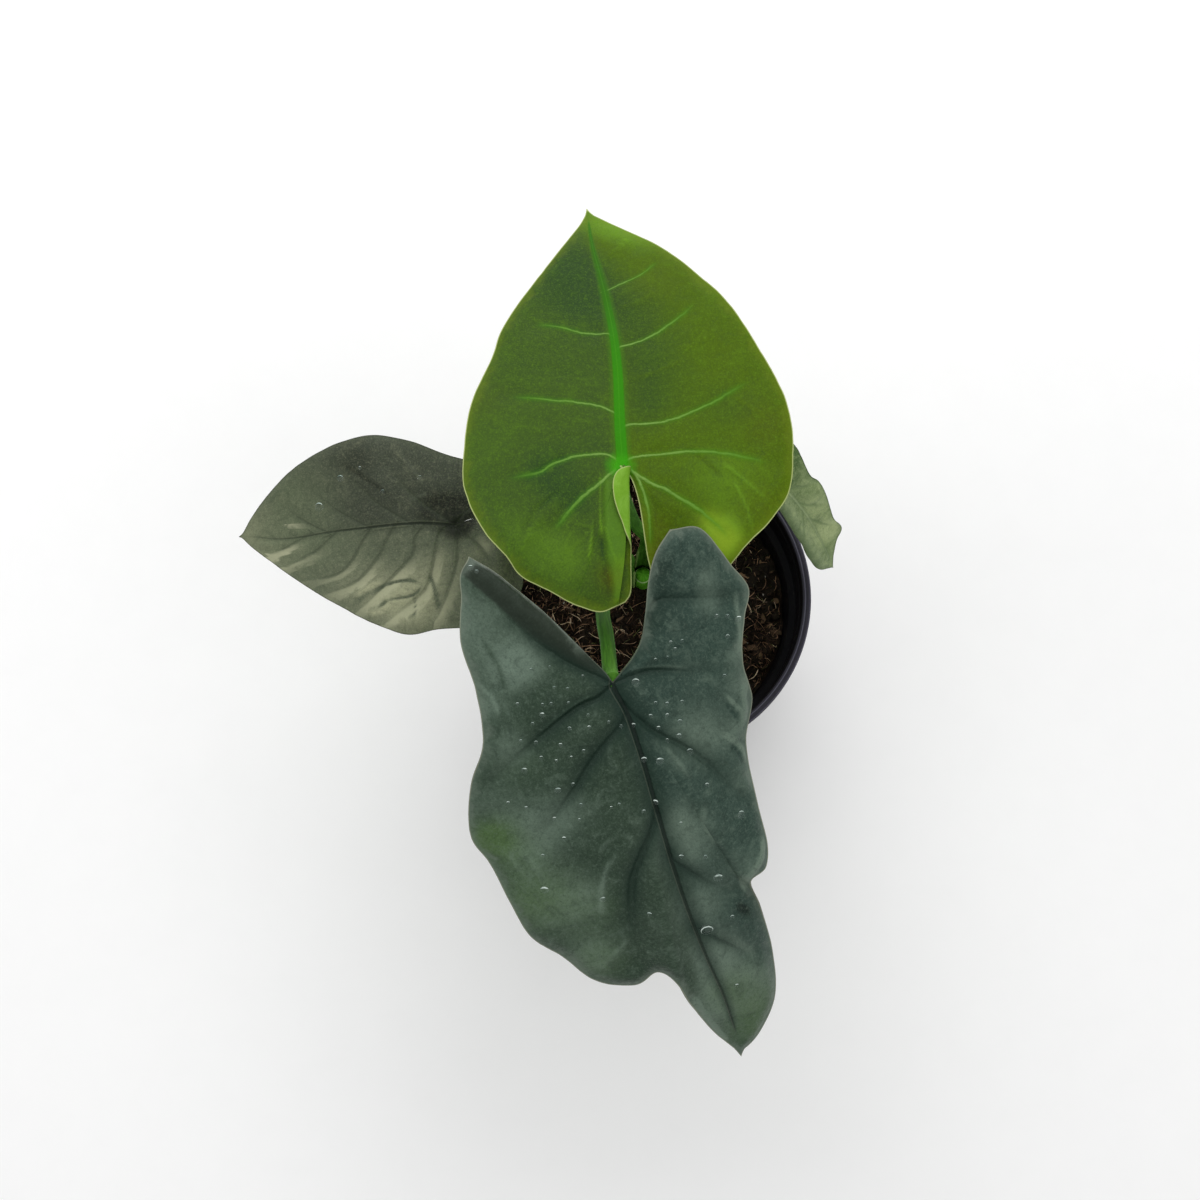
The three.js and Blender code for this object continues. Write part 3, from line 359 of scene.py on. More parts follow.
# Drops of water on two blades: along, left, size
FRONT_DROPS = [
    (-7.4, 35.2, 1), (-6.1, 38.3, 1), (-4, 41.3, 1.4), (-0.4, 36.3, 1), (-5.2, 19.7, 0.8),
    (-4.3, 23.1, 0.8), (-2.7, 20.4, 0.8), (-1.2, 17.5, 0.7), (-2, 13.9, 0.7), (11, 31.9, 1),
    (2.5, 6.2, 1.8), (-3, -13.1, 0.8), (-4.8, -16.6, 0.7), (-11, -15.9, 0.7), (-12.3, -21.1, 0.7),
    (-4.8, -7.8, 0.8), (-3.8, -28.3, 0.8), (-1.1, -21.5, 0.8), (-0.5, -19.1, 0.8), (1.2, -14.3, 0.8),
    (1.9, -22.7, 1.3), (3.5, -26.2, 0.8), (8.8, -16.6, 0.9), (10.3, -11, 0.9), (6.8, -10.1, 0.8),
    (10.8, -5.1, 0.8), (13.7, -2.2, 0.9), (14.7, 1.5, 1), (10, -27.4, 1), (7.4, -31.3, 0.8),
    (12.7, -20.7, 1), (14.7, -27.4, 1), (17, -23.5, 0.8), (16.7, -14.9, 0.8), (17.4, -19, 0.8),
    (26.3, -26.1, 1.5), (26.2, -21.4, 1), (33.3, -21.2, 1), (28.8, -36.9, 0.9), (17, -33.4, 1.5),
    (25.4, -41.4, 0.8), (35.4, -30.2, 1), (42.2, -29.4, 1.2), (37.7, -23.1, 0.8), (45.8, -37.2, 0.9),
    (10.5, 9.6, 0.9), (12.1, 12.8, 0.9), (13.5, 17.3, 0.9), (13.8, 7, 1), (15.5, 11.7, 1),
    (19.1, 14.8, 1.2), (18.4, 8.2, 1), (23.5, 9.5, 1), (23.5, 13.3, 1.4), (30, 15, 1.7), (28.2, 5.2, 1.8),
    (26.3, 1, 1.5), (41.7, 16.3, 1.2), (40.6, 0.1, 1.4), (41.5, -4.2, 1), (50, 5, 1), (56.4, 23.7, 2),
    (60.9, 2, 1.2), (64.3, 8.8, 1.2), (73.7, 10.7, 2.3), (90.2, 2.4, 3), (89.5, 11, 1.2), (116.9, 5.9, 1.1),
    (67, -24.8, 1.4), (-46.4, -27.7, 1.3), (-44.8, -26.6, 0.9), (57.4, -40.4, 2), (76.6, -12.7, 1.2),
    (36.7, -10.3, 0.8), (36.9, -12.9, 0.8),
]
LEFT_DROPS = [(48, -8, 2.2), (40, -17, 1.6), (12, -16, 1.2), (25, -12, 1), (33, -20, 0.9)]


# Small helpers

def smooth(x):
    x = np.clip(x, 0, 1)
    return x * x * (3 - 2 * x)


def unit(v):
    v = np.asarray(v, float)
    return v / np.linalg.norm(v, axis=-1, keepdims=True)


def spline(points, count):
    """A smooth curve through points, at count + 1 places that are even by point."""
    p = np.array(points, float)
    last = len(p) - 1
    p = np.vstack([2 * p[0] - p[1], p, 2 * p[-1] - p[-2]])
    u = np.arange(count + 1) / count * last
    i = np.minimum(u.astype(int), last - 1)
    w = (u - i)[:, None]
    p0, p1, p2, p3 = (p[i + k] for k in range(4))
    t0, t1 = (p2 - p0) / 2, (p3 - p1) / 2
    return p1 + t0 * w + (-3 * p1 + 3 * p2 - 2 * t0 - t1) * w ** 2 + (2 * p1 - 2 * p2 + t0 + t1) * w ** 3


def by_length(points, shares):
    """Points of a fine polyline at shares of its length."""
    steps = np.linalg.norm(np.diff(points, axis=0), axis=1)
    length = np.concatenate([[0], np.cumsum(steps)])
    places = np.asarray(shares) * length[-1]
    return np.stack([np.interp(places, length, points[:, k]) for k in range(points.shape[1])], axis=-1)


def centripetal(points, count):
    """A smooth curve through uneven points that doesn't overshoot."""
    p = np.array(points, float)
    p = np.vstack([2 * p[0] - p[1], p, 2 * p[-1] - p[-2]])
    out = []
    for i in range(1, len(p) - 2):
        a, b, c, d = p[i - 1:i + 3]
        d0, d1, d2 = (max(np.linalg.norm(y - x) ** 0.5, 1e-4) for x, y in ((a, b), (b, c), (c, d)))
        t1 = ((b - a) / d0 - (c - a) / (d0 + d1) + (c - b) / d1) * d1
        t2 = ((c - b) / d1 - (d - b) / (d1 + d2) + (d - c) / d2) * d1
        w = np.linspace(0, 1, count, endpoint=False)[:, None]
        out.append(b + t1 * w + (-3 * b + 3 * c - 2 * t1 - t2) * w ** 2 + (2 * b - 2 * c + t1 + t2) * w ** 3)
    out.append(p[-2:-1])
    return np.vstack(out)


class Field:
    """Smooth random values in space, from a fixed seed."""

    def __init__(self, seed):
        rng = np.random.default_rng(seed)
        self.table = rng.uniform(-1, 1, 4096)
        self.mix = rng.permutation(4096)

    def corner(self, i, j, k):
        h = self.mix[i % 4096]
        h = self.mix[(h + j) % 4096]
        return self.table[self.mix[(h + k) % 4096]]

    def __call__(self, p, size):
        q = np.asarray(p, float) / size
        base = np.floor(q).astype(int)
        f = q - base
        f = f * f * f * (f * (f * 6 - 15) + 10)
        out = 0
        for dx in (0, 1):
            for dy in (0, 1):
                for dz in (0, 1):
                    weight = 1
                    for axis, d in enumerate((dx, dy, dz)):
                        weight = weight * (f[..., axis] if d else 1 - f[..., axis])
                    out = out + weight * self.corner(base[..., 0] + dx, base[..., 1] + dy, base[..., 2] + dz)
        return out

    def layered(self, p, size, layers):
        """Layers of the values, each half the size and strength of the one before."""
        out, share = 0, 1
        for layer in range(layers):
            out = out + share * self(np.asarray(p) + 37.7 * layer, size)
            size, share = size / 2, share / 2
        return out


field = Field(11)


def flat_points(a, b, height=0.0):
    a, b = np.asarray(a, float), np.asarray(b, float)
    return np.stack([a, b, np.full_like(a, height)], axis=-1)


# Making pieces

MATERIALS = {}


def set_values(mesh, values):
    """Named values, or vectors, at the points of a mesh."""
    for key, value in values.items():
        value = np.asarray(value, np.float32)
        kind, field_name = ("FLOAT", "value") if value.ndim == 1 else ("FLOAT_VECTOR", "vector")
        mesh.attributes.new(key, kind, "POINT").data.foreach_set(field_name, value.ravel())


def smooth_faces(mesh, sharp):
    """Smooth shading, apart from edges sharper than an angle in degrees, where one is given."""
    mesh.polygons.foreach_set("use_smooth", [True] * len(mesh.polygons))
    if sharp:
        mesh.set_sharp_from_angle(angle=math.radians(sharp))


def make_piece(name, points, faces, look, values=None, replaces=None, sharp=None):
    """A mesh object from points in millimetres, with named values at its points for its material."""
    mesh = bpy.data.meshes.new(name)
    mesh.from_pydata((np.asarray(points) * MM).tolist(), [], [list(map(int, face)) for face in faces])
    mesh.update()
    set_values(mesh, values or {})
    smooth_faces(mesh, sharp)
    mesh.materials.append(MATERIALS[look])
    piece = bpy.data.objects.new(name, mesh)
    bpy.context.scene.collection.objects.link(piece)
    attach(piece, "root")
    if replaces:
        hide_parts(replaces)
    return piece


def ring_faces(rows, count, flip=False):
    """Quads between closed rings of points that follow each other."""
    low = np.arange(rows - 1)[:, None] * count
    i = np.arange(count)
    j = (i + 1) % count
    quads = np.stack([low + i, low + j, low + count + j, low + count + i], axis=-1).reshape(-1, 4)
    return (quads[:, [0, 3, 2, 1]] if flip else quads).tolist()


def closed_rings(rings, first, last, flip=False):
    """Points and faces of a solid of rings that is closed by a fan round a point at each end."""
    rows, count = rings.shape[:2]
    points = np.vstack([rings.reshape(-1, 3), [first, last]])
    faces = ring_faces(rows, count, flip)
    start, end = rows * count, (rows - 1) * count
    for i in range(count):
        j = (i + 1) % count
        fans = [start, j, i], [start + 1, end + i, end + j]
        faces += [[fan[0], fan[2], fan[1]] for fan in fans] if flip else fans
    return points, faces


def loft_faces(rows, count):
    """Faces of a solid of rings that is closed at each end by a strip from side to side."""
    faces = ring_faces(rows, count)
    end = (rows - 1) * count
    low, high = 0, count - 1
    while low + 1 < high:
        inner = [low + 1, high - 1] if low + 1 < high - 1 else [low + 1]
        faces.append([high, *reversed(inner), low])
        faces.append([end + low, *[end + k for k in inner], end + high])
        low, high = low + 1, high - 1
    return faces


def repeated(faces, count):
    """The faces of one form, for a count of them whose points follow each other."""
    size = 1 + max(max(face) for face in faces)
    return [[size * k + i for i in face] for k in range(count) for face in faces]


# Node materials

def shade(colour):
    """A colour of three values, 0 to 255 on a screen, as the linear colour that a shader takes."""
    if not isinstance(colour, tuple) or len(colour) != 3:
        return colour
    shares = [value / 255 for value in colour]
    return (*(v / 12.92 if v <= 0.04045 else ((v + 0.055) / 1.055) ** 2.4 for v in shares), 1)


class Nodes:
    """A material under construction, with short calls for the nodes that it uses."""

    def __init__(self, name, specular=0.5):
        self.material = bpy.data.materials.new(name)
        self.material.use_nodes = True
        self.tree = self.material.node_tree
        self.shader = self.tree.nodes["Principled BSDF"]
        self.shader.inputs["Specular IOR Level"].default_value = specular
        MATERIALS[name] = self.material

    def node(self, kind, inputs=(), **settings):
        node = self.tree.nodes.new(kind)
        for key, value in settings.items():
            setattr(node, key, value)
        for key, value in dict(inputs).items():
            self.link(value, node.inputs[key])
        return node

    def link(self, value, socket):
        if isinstance(value, bpy.types.NodeSocket):
            self.tree.links.new(value, socket)
        else:
            socket.default_value = value

    def value(self, name):
        return self.node("ShaderNodeAttribute", attribute_name=name).outputs["Fac"]

    def vector(self, name):
        return self.node("ShaderNodeAttribute", attribute_name=name).outputs["Vector"]

    def place(self):
        return self.node("ShaderNodeTexCoord").outputs["Object"]

    def stretched(self, vector, scale):
        return self.node("ShaderNodeMapping", {"Vector": vector, "Scale": scale}).outputs[0]

    def flat_length(self, vector):
        """The length of a vector, its third part left out."""
        flat = self.node("ShaderNodeVectorMath", {0: vector, 1: (1, 1, 0)}, operation="MULTIPLY").outputs[0]
        return self.node("ShaderNodeVectorMath", {0: flat}, operation="LENGTH").outputs["Value"]

    def math(self, operation, a, b=0.0, clamp=False):
        return self.node("ShaderNodeMath", {0: a, 1: b}, operation=operation, use_clamp=clamp).outputs[0]

    def plus(self, first, *others):
        for other in others:
            first = self.math("ADD", first, other)
        return first

    def times(self, first, *others):
        for other in others:
            first = self.math("MULTIPLY", first, other)
        return first

    def swing(self, noise, amount):
        """A noise made to lie on both sides of zero."""
        return self.times(self.math("SUBTRACT", noise, 0.5), amount)

    def span(self, value, low, high, out_low=0.0, out_high=1.0):
        """A smooth step of a value from low to high."""
        ends = {"Value": value, "From Min": low, "From Max": high, "To Min": out_low, "To Max": out_high}
        return self.node("ShaderNodeMapRange", ends, interpolation_type="SMOOTHSTEP").outputs["Result"]

    def noise(self, vector, scale, detail=4.0, roughness=0.55, distortion=0.0):
        inputs = {"Vector": vector, "Scale": scale, "Detail": detail, "Roughness": roughness}
        return self.node("ShaderNodeTexNoise", inputs | {"Distortion": distortion}).outputs["Fac"]

    def cells(self, vector, scale, feature="DISTANCE_TO_EDGE"):
        node = self.node("ShaderNodeTexVoronoi", {"Vector": vector, "Scale": scale}, feature=feature)
        return node.outputs["Distance"]

    def mix(self, share, a, b):
        return self.node("ShaderNodeMix", {0: share, 6: shade(a), 7: shade(b)}, data_type="RGBA").outputs[2]

    def veil(self, under, colour, share, *strengths):
        """A colour laid over another, as strongly as the share and strengths multiply to."""
        return self.mix(self.times(share, *strengths), under, colour)

    def finish(self, height=None, relief=0.0, strength=0.0, **inputs):
        """The shader's inputs, and its relief from a height, in metres for a height of 1."""
        if height is not None:
            bump = {"Height": height, "Distance": relief, "Strength": strength}
            inputs["Normal"] = self.node("ShaderNodeBump", bump).outputs["Normal"]
        for key, value in inputs.items():
            self.link(value, self.shader.inputs[key.replace("_", " ")])


def blade_material(name, look):
    """Leaf skin: ground colour with patches, a network of fine veins, main veins and a margin line."""
    n = Nodes(name, look["specular"])
    plane = n.vector("plane")
    middle, middle_width, edge, tone_and_painted_light, tint, strip, fold_and_painted_light, under = map(
        n.value, ("middle", "middle_width", "edge", "tone_and_painted_light", "tint", "strip", "fold_and_painted_light", "under"),
    )
    reach, lateral, travel, width, comb, clear, sided = map(
        n.value, ("reach", "lateral", "travel", "width", "comb", "clear", "sided"),
    )
    side = n.node("ShaderNodeSeparateXYZ", {"Vector": plane}).outputs["Y"]
    far = n.flat_length(plane)

    # the ground changes from side to side, with lighter and darker patches and three sizes of grain
    cloud = n.noise(plane, 0.055, 3, 0.5)
    mottle = n.noise(plane, 0.2, 5, 0.6, 0.6)
    grain = n.noise(plane, 0.75, 5, 0.7)
    speck = n.noise(plane, 1.9, 3, 0.75)
    # painted light and shade: one half of each blade lighter than the other, as light falls on it
    ground = n.mix(n.span(n.plus(side, n.times(cloud, 6.0)), 7.0, -1.0), look["ground"], look["ground_right_half_painted_light"])
    # lighter and darker patches and creases: own mottling, and painted light and shade
    for key, share, full in (("light", tone_and_painted_light, 1), ("dark", tone_and_painted_light, -1), ("tint", tint, 1)):
        ground = n.mix(n.span(share, 0, full), ground, look[key])
    for key, noise, high, low in (
        ("mottle", mottle, 0.72, 0.3), ("grain", grain, 0.75, 0.25), ("speck", speck, 0.7, 0.3),
    ):
        ground = n.veil(ground, look["light"], n.span(noise, 0.5, high), look[key])
        ground = n.veil(ground, look["dark"], n.span(noise, 0.5, low), look[key])

    # fine veins: ribs that leave the side veins, and a net of small cells
    course = n.plus(n.times(comb, 1 - look["parallel"]), n.times(reach, look["parallel"]))
    ribs = n.math("SINE", n.times(n.plus(course, n.times(mottle, 3.5)), look["rib_rate"]))
    ribs = n.times(n.span(ribs, 0.55, 1), n.span(reach, 0.8, 2.4), n.span(clear, 0.2, 1.5))
    net = n.span(n.cells(plane, 0.85), 0.09, 0.0)
    fine = n.math("ADD", n.times(ribs, look["ribs"]), n.times(net, look["net"]), True)
    ground = n.mix(fine, ground, look["fine"])

    # a pale band with a torn edge along one side of each side vein, then the raised strip and the folds,
    # with their painted shade
    torn = n.plus(reach, n.swing(mottle, 9.0), n.swing(grain, 4.0))
    band = n.times(
        n.span(sided, 0.1, 0.7), n.span(torn, look["band_width"], look["band_width"] * 0.5),
        n.span(clear, 0, 1), n.span(travel, 0.1, 0.6, 0.0, look["band"]), n.span(tone_and_painted_light, -0.15, 0.7),
        n.math("GREATER_THAN", side, look["band_from"]),
    )
    ground = n.mix(band, ground, look["band_colour"])
    ground = n.veil(ground, look["strip_colour"], strip, look["strip"])
    # fold colour: the underside where a blade curls up, painted shade where it curls down, a painted glow at
    # bright spots
    ground = n.veil(ground, look["fold_colour_and_painted_light"], fold_and_painted_light, look["fold_and_painted_light"])

    # side veins: a soft halo that grows outwards and a fine line that fades outwards
    wobble = n.swing(grain, 0.4)
    shrunk = n.times(width, n.span(travel, 0, 1, look["line"], look["line"] * 2.4))
    apart = n.math("ABSOLUTE", n.plus(lateral, n.swing(mottle, 1.3)))
    apart = n.plus(apart, n.times(n.math("SUBTRACT", reach, apart), n.span(reach, 1.5, 2.6)))
    near = n.math("SUBTRACT", n.plus(apart, wobble), shrunk)
    grown = n.span(travel, 0, 1, look["halo_width"], look["halo_far"])
    halo = n.times(n.math("SUBTRACT", 1.0, n.math("DIVIDE", near, grown), True), n.span(reach, 7.0, 5.0))
    faded = n.span(travel, 1.0, look["fade"])
    colour = n.veil(ground, look["halo_colour"], halo, halo, faded, look["halo"])
    line = n.times(
        n.span(near, 0.3, -0.15), n.span(reach, 2.4, 1.7), n.span(travel, 1.0, 0.6),
        n.span(grain, 0.3, 0.55, 0.55, 1.0),
    )
    line_colour = n.mix(n.span(travel, 0.1, 0.75), look["vein_colour"], look["vein_far"])
    colour = n.veil(colour, line_colour, line, look["vein"])

    # the midrib: its halo, its own colour, and a thin core in it or beside it
    rib_near = n.math("SUBTRACT", n.plus(n.math("ABSOLUTE", middle), n.times(wobble, 0.7)), middle_width)
    shown = n.span(middle_width, 0.0, 0.2)
    rib_reach = n.span(middle_width, 0.0, look["core_to"], 0.2, look["halo_width"] * 1.4)
    rib_halo = n.math("SUBTRACT", 1.0, n.math("DIVIDE", rib_near, rib_reach), True)
    colour = n.veil(colour, look["halo_colour"], rib_halo, shown, look["halo"])
    rib = n.times(n.span(rib_near, 0.35, -0.3), shown)
    thick = n.span(middle_width, look["core_from"], look["core_to"])
    colour = n.veil(colour, n.mix(thick, look["midrib_far"], look["midrib_colour"]), rib, look["midrib"])
    beside_rib = n.plus(middle, n.times(middle_width, look["core_side"]))
    core = n.times(n.span(beside_rib, 0.28, 0.0), shown, n.span(beside_rib, -0.28, 0.0))
    colour = n.veil(colour, look["core_colour"], core, look["core"])

    # a spot of colour round the joint, a painted highlight inside the margin, and the margin's own line
    star = n.span(n.plus(far, n.times(mottle, 4.0)), look["star"], look["star"] * 0.35)
    colour = n.veil(colour, look["star_colour"], star, look["star_strength"])
    torn_edge = n.plus(edge, n.swing(mottle, 9.0))
    painted_rim_highlight = n.times(n.span(torn_edge, look["painted_rim_highlight_width"], 0.0), n.span(far, 8.0, 18.0))
    colour = n.veil(colour, look["painted_rim_highlight_colour"], painted_rim_highlight, painted_rim_highlight, look["painted_rim_highlight"])
    rim = n.span(n.plus(edge, n.times(wobble, 0.5)), look["margin_width"], look["margin_width"] * 0.4)
    rim = n.times(rim, n.span(far, 20.0, 44.0, look["slot_margin"], 1.0))
    colour = n.veil(colour, look["margin_colour"], rim, look["margin"])

    # the underside
    low = n.mix(n.span(cloud, 0.3, 0.7), look["under"], look["under_two"])
    low = n.veil(low, look["under_vein"], n.span(mottle, 0.4, 0.7), 0.4)
    low = n.mix(n.math("MULTIPLY", fine, 1.2, True), low, look["under_vein"])
    low = n.mix(n.math("MAXIMUM", line, rib), low, look["under_vein"])
    low = n.veil(low, look["margin_colour"], rim, 0.7)
    colour = n.mix(under, colour, low)

    trench = n.times(n.span(near, 0.4, -1.1), 1.4, n.span(travel, 1.0, 0.5), n.span(reach, 2.4, 1.7))
    height = n.plus(
        n.times(grain, 0.3), n.times(fine, -0.5),
        n.times(n.math("MAXIMUM", trench, rib), look["vein_bump"]),
        n.times(mottle, 1.2), n.times(n.noise(plane, 3.5, 3), 0.06),
    )
    rough = n.plus(look["rough"], n.swing(mottle, 0.3), n.times(under, 0.12))
    n.finish(height, look["relief"], 0.9, Base_Color=colour, Roughness=rough)


# The skins of the young, dark, silver and grey blade, in this order; three numbers are a screen colour
LOOKS = {
    # the first two colours: the ground of the left and of the right half, which differ as painted light and
    # shade
    "ground": ((56, 79, 25), (50, 70, 61), (84, 91, 72), (126, 144, 96)),
    "ground_right_half_painted_light": ((67, 91, 3), (52, 69, 54), (66, 72, 59), (132, 148, 108)),
    "light": ((96, 136, 28), (106, 124, 109), (150, 152, 122), (170, 184, 132)),
    "dark": ((38, 62, 26), (22, 38, 30), (24, 28, 19), (66, 94, 46)),
    "tint": ((84, 82, 4), (78, 104, 62), (90, 100, 76), (86, 118, 60)), "mottle": (0.14, 0.3, 0.13, 0.5),
    "grain": (0.3, 0.45, 0.2, 0.5), "speck": (0.3, 0.24, 0.2, 0.24), "rib_rate": (2.4, 1.2, 1.7, 2.0),
    "parallel": (0.9, 0.3, 0.0, 0.0), "ribs": (0.06, 0.1, 0.16, 0.14), "net": (0.05, 0.14, 0.16, 0.16),
    "fine": ((86, 122, 16), (38, 54, 46), (50, 60, 46), (96, 118, 78)), "band": (0.0, 0.15, 0.95, 0.35),
    "band_from": (-99, -99, -3, -99), "band_width": (4, 5, 5, 3),
    "band_colour": ((100, 140, 50), (88, 104, 90), (152, 154, 126), (160, 174, 132)),
    "strip": (0.5, 0.0, 0.0, 0.0),
    "strip_colour": ((90, 136, 34), (90, 100, 80), (90, 100, 80), (90, 100, 80)),
    # fold colour: the underside and a painted glow on the young blade, painted shade on the other three
    "fold_and_painted_light": (0.65, 0.8, 0.3, 0.5),
    "fold_colour_and_painted_light": ((132, 160, 34), (36, 42, 34), (72, 74, 58), (94, 116, 80)),
    "halo": (0.45, 0.7, 0.3, 0.35), "halo_width": (1.3, 4.5, 2.2, 0.8), "halo_far": (2.2, 6.0, 2.6, 1.2),
    "halo_colour": ((60, 118, 10), (26, 46, 37), (58, 66, 50), (100, 122, 80)),
    "line": (0.3, 0.7, 0.6, 0.8), "fade": (0.8, 0.35, 0.6, 0.6), "vein": (0.75, 0.22, 0.26, 0.3),
    "vein_colour": ((124, 158, 78), (26, 40, 33), (42, 50, 36), (100, 122, 80)),
    "vein_far": ((96, 140, 48), (38, 54, 45), (66, 74, 56), (110, 130, 92)),
    "midrib": (0.95, 0.8, 0.85, 0.4),
    "midrib_colour": ((44, 124, 0), (18, 28, 23), (22, 30, 18), (166, 180, 138)),
    "midrib_far": ((46, 94, 10), (38, 52, 40), (58, 68, 50), (140, 156, 114)),
    "core": (0.2, 0.45, 0.45, 0.3), "core_from": (0.85, 0.1, 0.1, 0.1), "core_to": (1.55, 0.6, 0.4, 0.4),
    "core_side": (0.0, 1.7, 1.6, 1.4),
    "core_colour": ((76, 152, 22), (84, 88, 76), (98, 104, 84), (94, 116, 76)),
    "star": (8.0, 6.0, 9.0, 5.0), "star_strength": (0.85, 0.3, 0.85, 0.5),
    "star_colour": ((56, 148, 4), (28, 44, 36), (20, 26, 14), (62, 84, 44)),
    # a painted highlight inside the margin, along the rolled edges
    "painted_rim_highlight": (0.35, 0.44, 0.15, 0.3), "painted_rim_highlight_width": (5.0, 4.0, 3.0, 2.0),
    "painted_rim_highlight_colour": ((104, 124, 20), (116, 130, 116), (116, 124, 100), (92, 112, 72)),
    "slot_margin": (1.0, 0.3, 1.0, 1.0), "margin": (0.85, 0.7, 0.6, 0.85),
    "margin_width": (0.4, 0.42, 0.35, 0.4),
    "margin_colour": ((170, 180, 118), (140, 144, 126), (48, 54, 38), (64, 84, 48)),
    "under": ((112, 158, 44), (88, 112, 78), (96, 112, 78), (122, 140, 100)),
    "under_two": ((100, 146, 36), (78, 104, 70), (84, 102, 70), (110, 130, 92)),
    "under_vein": ((134, 178, 74), (120, 144, 96), (124, 140, 98), (146, 160, 122)),
    "vein_bump": (0.5, -0.8, -0.6, -0.4), "relief": (0.0003, 0.0004, 0.0004, 0.0004),
    "rough": (0.5, 0.42, 0.5, 0.55), "specular": (0.06, 0.13, 0.13, 0.12),
}
for skin, skin_name in enumerate(("blade_young", "blade_dark", "blade_silver", "blade_grey")):
    blade_material(skin_name, {key: values[skin] for key, values in LOOKS.items()})


def stem_material(name, base, dark, light, edge_colour):
    """Leaf stalk: long soft streaks, small light specks and pale thin sheath edges."""
    n = Nodes(name, 0.07)
    grain = n.vector("grain")
    streaks = n.noise(grain, 1.0, 5, 0.6)
    specks = n.span(n.cells(grain, 2.2, "F1"), 0.22, 0.1)
    colour = n.mix(n.span(streaks, 0.35, 0.7), dark, base)
    colour = n.veil(colour, light, n.span(n.noise(grain, 0.18, 3), 0.45, 0.8), 0.6)
    colour = n.veil(colour, light, specks, 0.25)
    colour = n.mix(n.span(n.value("foot"), 0.9, 1.0), colour, (58, 52, 30))
    colour = n.veil(colour, edge_colour, n.span(n.value("wing"), 0.8, 0.97), 0.8)
    height = n.plus(streaks, n.times(specks, 0.2))
    n.finish(height, 0.0002, 0.6, Base_Color=colour, Roughness=n.plus(0.52, n.times(streaks, 0.2)))


def pot_material():
    """Black moulded plastic: grain, drawn streaks, painted reflection and highlight rings on the lip, dust,
    scuffs, stains inside.
    """
    n = Nodes("pot_plastic", 0.17)
    spot = n.place()
    fine = n.noise(spot, 900.0, 4, 0.6)
    long = n.noise(n.stretched(spot, (1, 1, 0.12)), 260.0, 4, 0.6)
    cloud = n.noise(spot, 28.0, 4, 0.6)
    # rings for the painted highlight lines on the lip
    turned = n.times(n.plus(n.flat_length(spot), n.times(fine, 0.0003)), 3600.0)
    rings = n.span(n.math("SINE", turned), 0.6, 1.0)
    scuffs = n.span(n.noise(n.stretched(spot, (1, 1, 6)), 70.0, 6, 0.75), 0.66, 0.78)
    dust = n.times(n.span(fine, 0.6, 0.75), n.span(cloud, 0.4, 0.7))
    stain = n.times(n.value("inside"), n.span(n.noise(spot, 90.0, 6, 0.7), 0.52, 0.68))
    colour = n.mix(n.span(cloud, 0.35, 0.7), (5, 5, 7), (12, 12, 16))
    # painted reflection: the flat top of the lip lighter and purple-grey; painted highlight lines in rings
    # on it
    colour = n.veil(colour, (48, 46, 56), n.value("lip"), 0.75)
    colour = n.veil(colour, (100, 98, 114), rings, n.value("lip"), 0.5)
    colour = n.veil(colour, (72, 72, 76), scuffs, 0.4)
    colour = n.veil(colour, (96, 90, 82), dust, 0.35)
    colour = n.veil(colour, (30, 25, 18), stain, 0.4)
    rough = n.plus(0.36, n.times(long, 0.2), n.times(n.math("MAXIMUM", dust, stain), 0.3))
    height = n.plus(n.times(fine, 0.4), long, n.times(stain, 0.5))
    n.finish(height, 0.00012, 0.5, Base_Color=colour, Roughness=rough)


def earth_material(name, size, gloss, *colours):
    """Crumbly earth, bark or grain: coarse and fine noise, and a tint of its own for each piece."""
    n = Nodes(name, 0.12)
    coarse = n.noise(n.place(), 300.0 / size, 5, 0.65)
    fine = n.noise(n.place(), 1500.0 / size, 4, 0.7)
    colour = n.mix(n.span(coarse, 0.32, 0.68), colours[0], colours[1])
    colour = n.veil(colour, colours[2], n.span(fine, 0.5, 0.72), 0.7)
    colour = n.veil(colour, colours[3], n.span(n.value("tint"), 0.0, 1.0), 0.85)
    rough = n.math("SUBTRACT", gloss, n.times(fine, 0.25))
    n.finish(n.plus(coarse, n.times(fine, 0.6)), 0.0005 * size, 0.9, Base_Color=colour, Roughness=rough)


def coir_material():
    """Coir threads: each has its own shade, most of them brown, with finer change along it."""
    n = Nodes("coir", 0.15)
    own = n.value("tint")
    change = n.noise(n.vector("grain"), 0.5, 4, 0.6)
    colour = n.mix(n.span(own, 0.3, 0.6), (20, 15, 11), (84, 60, 44))
    colour = n.mix(n.span(own, 0.6, 0.8), colour, (152, 120, 94))
    colour = n.mix(n.span(own, 0.88, 0.97), colour, (214, 190, 160))
    colour = n.veil(colour, (40, 28, 20), n.span(change, 0.45, 0.7), 0.5)
    n.finish(change, 0.0001, 0.6, Base_Color=colour, Roughness=n.span(change, 0, 1, 0.5, 0.8))


def moss_material():
    n = Nodes("moss")
    own = n.value("tint")
    colour = n.mix(n.span(own, 0, 1), (48, 52, 22), (92, 98, 46))
    colour = n.mix(n.span(n.noise(n.vector("grain"), 0.8, 3), 0.4, 0.7), colour, (62, 58, 30))
    n.finish(Base_Color=colour, Roughness=n.span(own, 0, 1, 0.6, 0.8))


def water_materials():
    """Clear drops with a faint change in their gloss, and a painted highlight: a pale bow on a drop's far
    rim.
    """
    n = Nodes("water")
    gloss, veil = (n.span(n.noise(n.place(), scale, 2), 0.3, 0.7, 0.03, 0.08) for scale in (400.0, 300.0))
    n.finish(Base_Color=(0.45, 0.55, 0.5, 1), Roughness=gloss, Alpha=veil)
    n = Nodes("painted_highlight_water")
    pale = n.mix(n.span(n.noise(n.place(), 500.0, 3), 0.35, 0.65), (126, 146, 138), (204, 218, 210))
    n.finish(Base_Color=pale, Roughness=0.3)


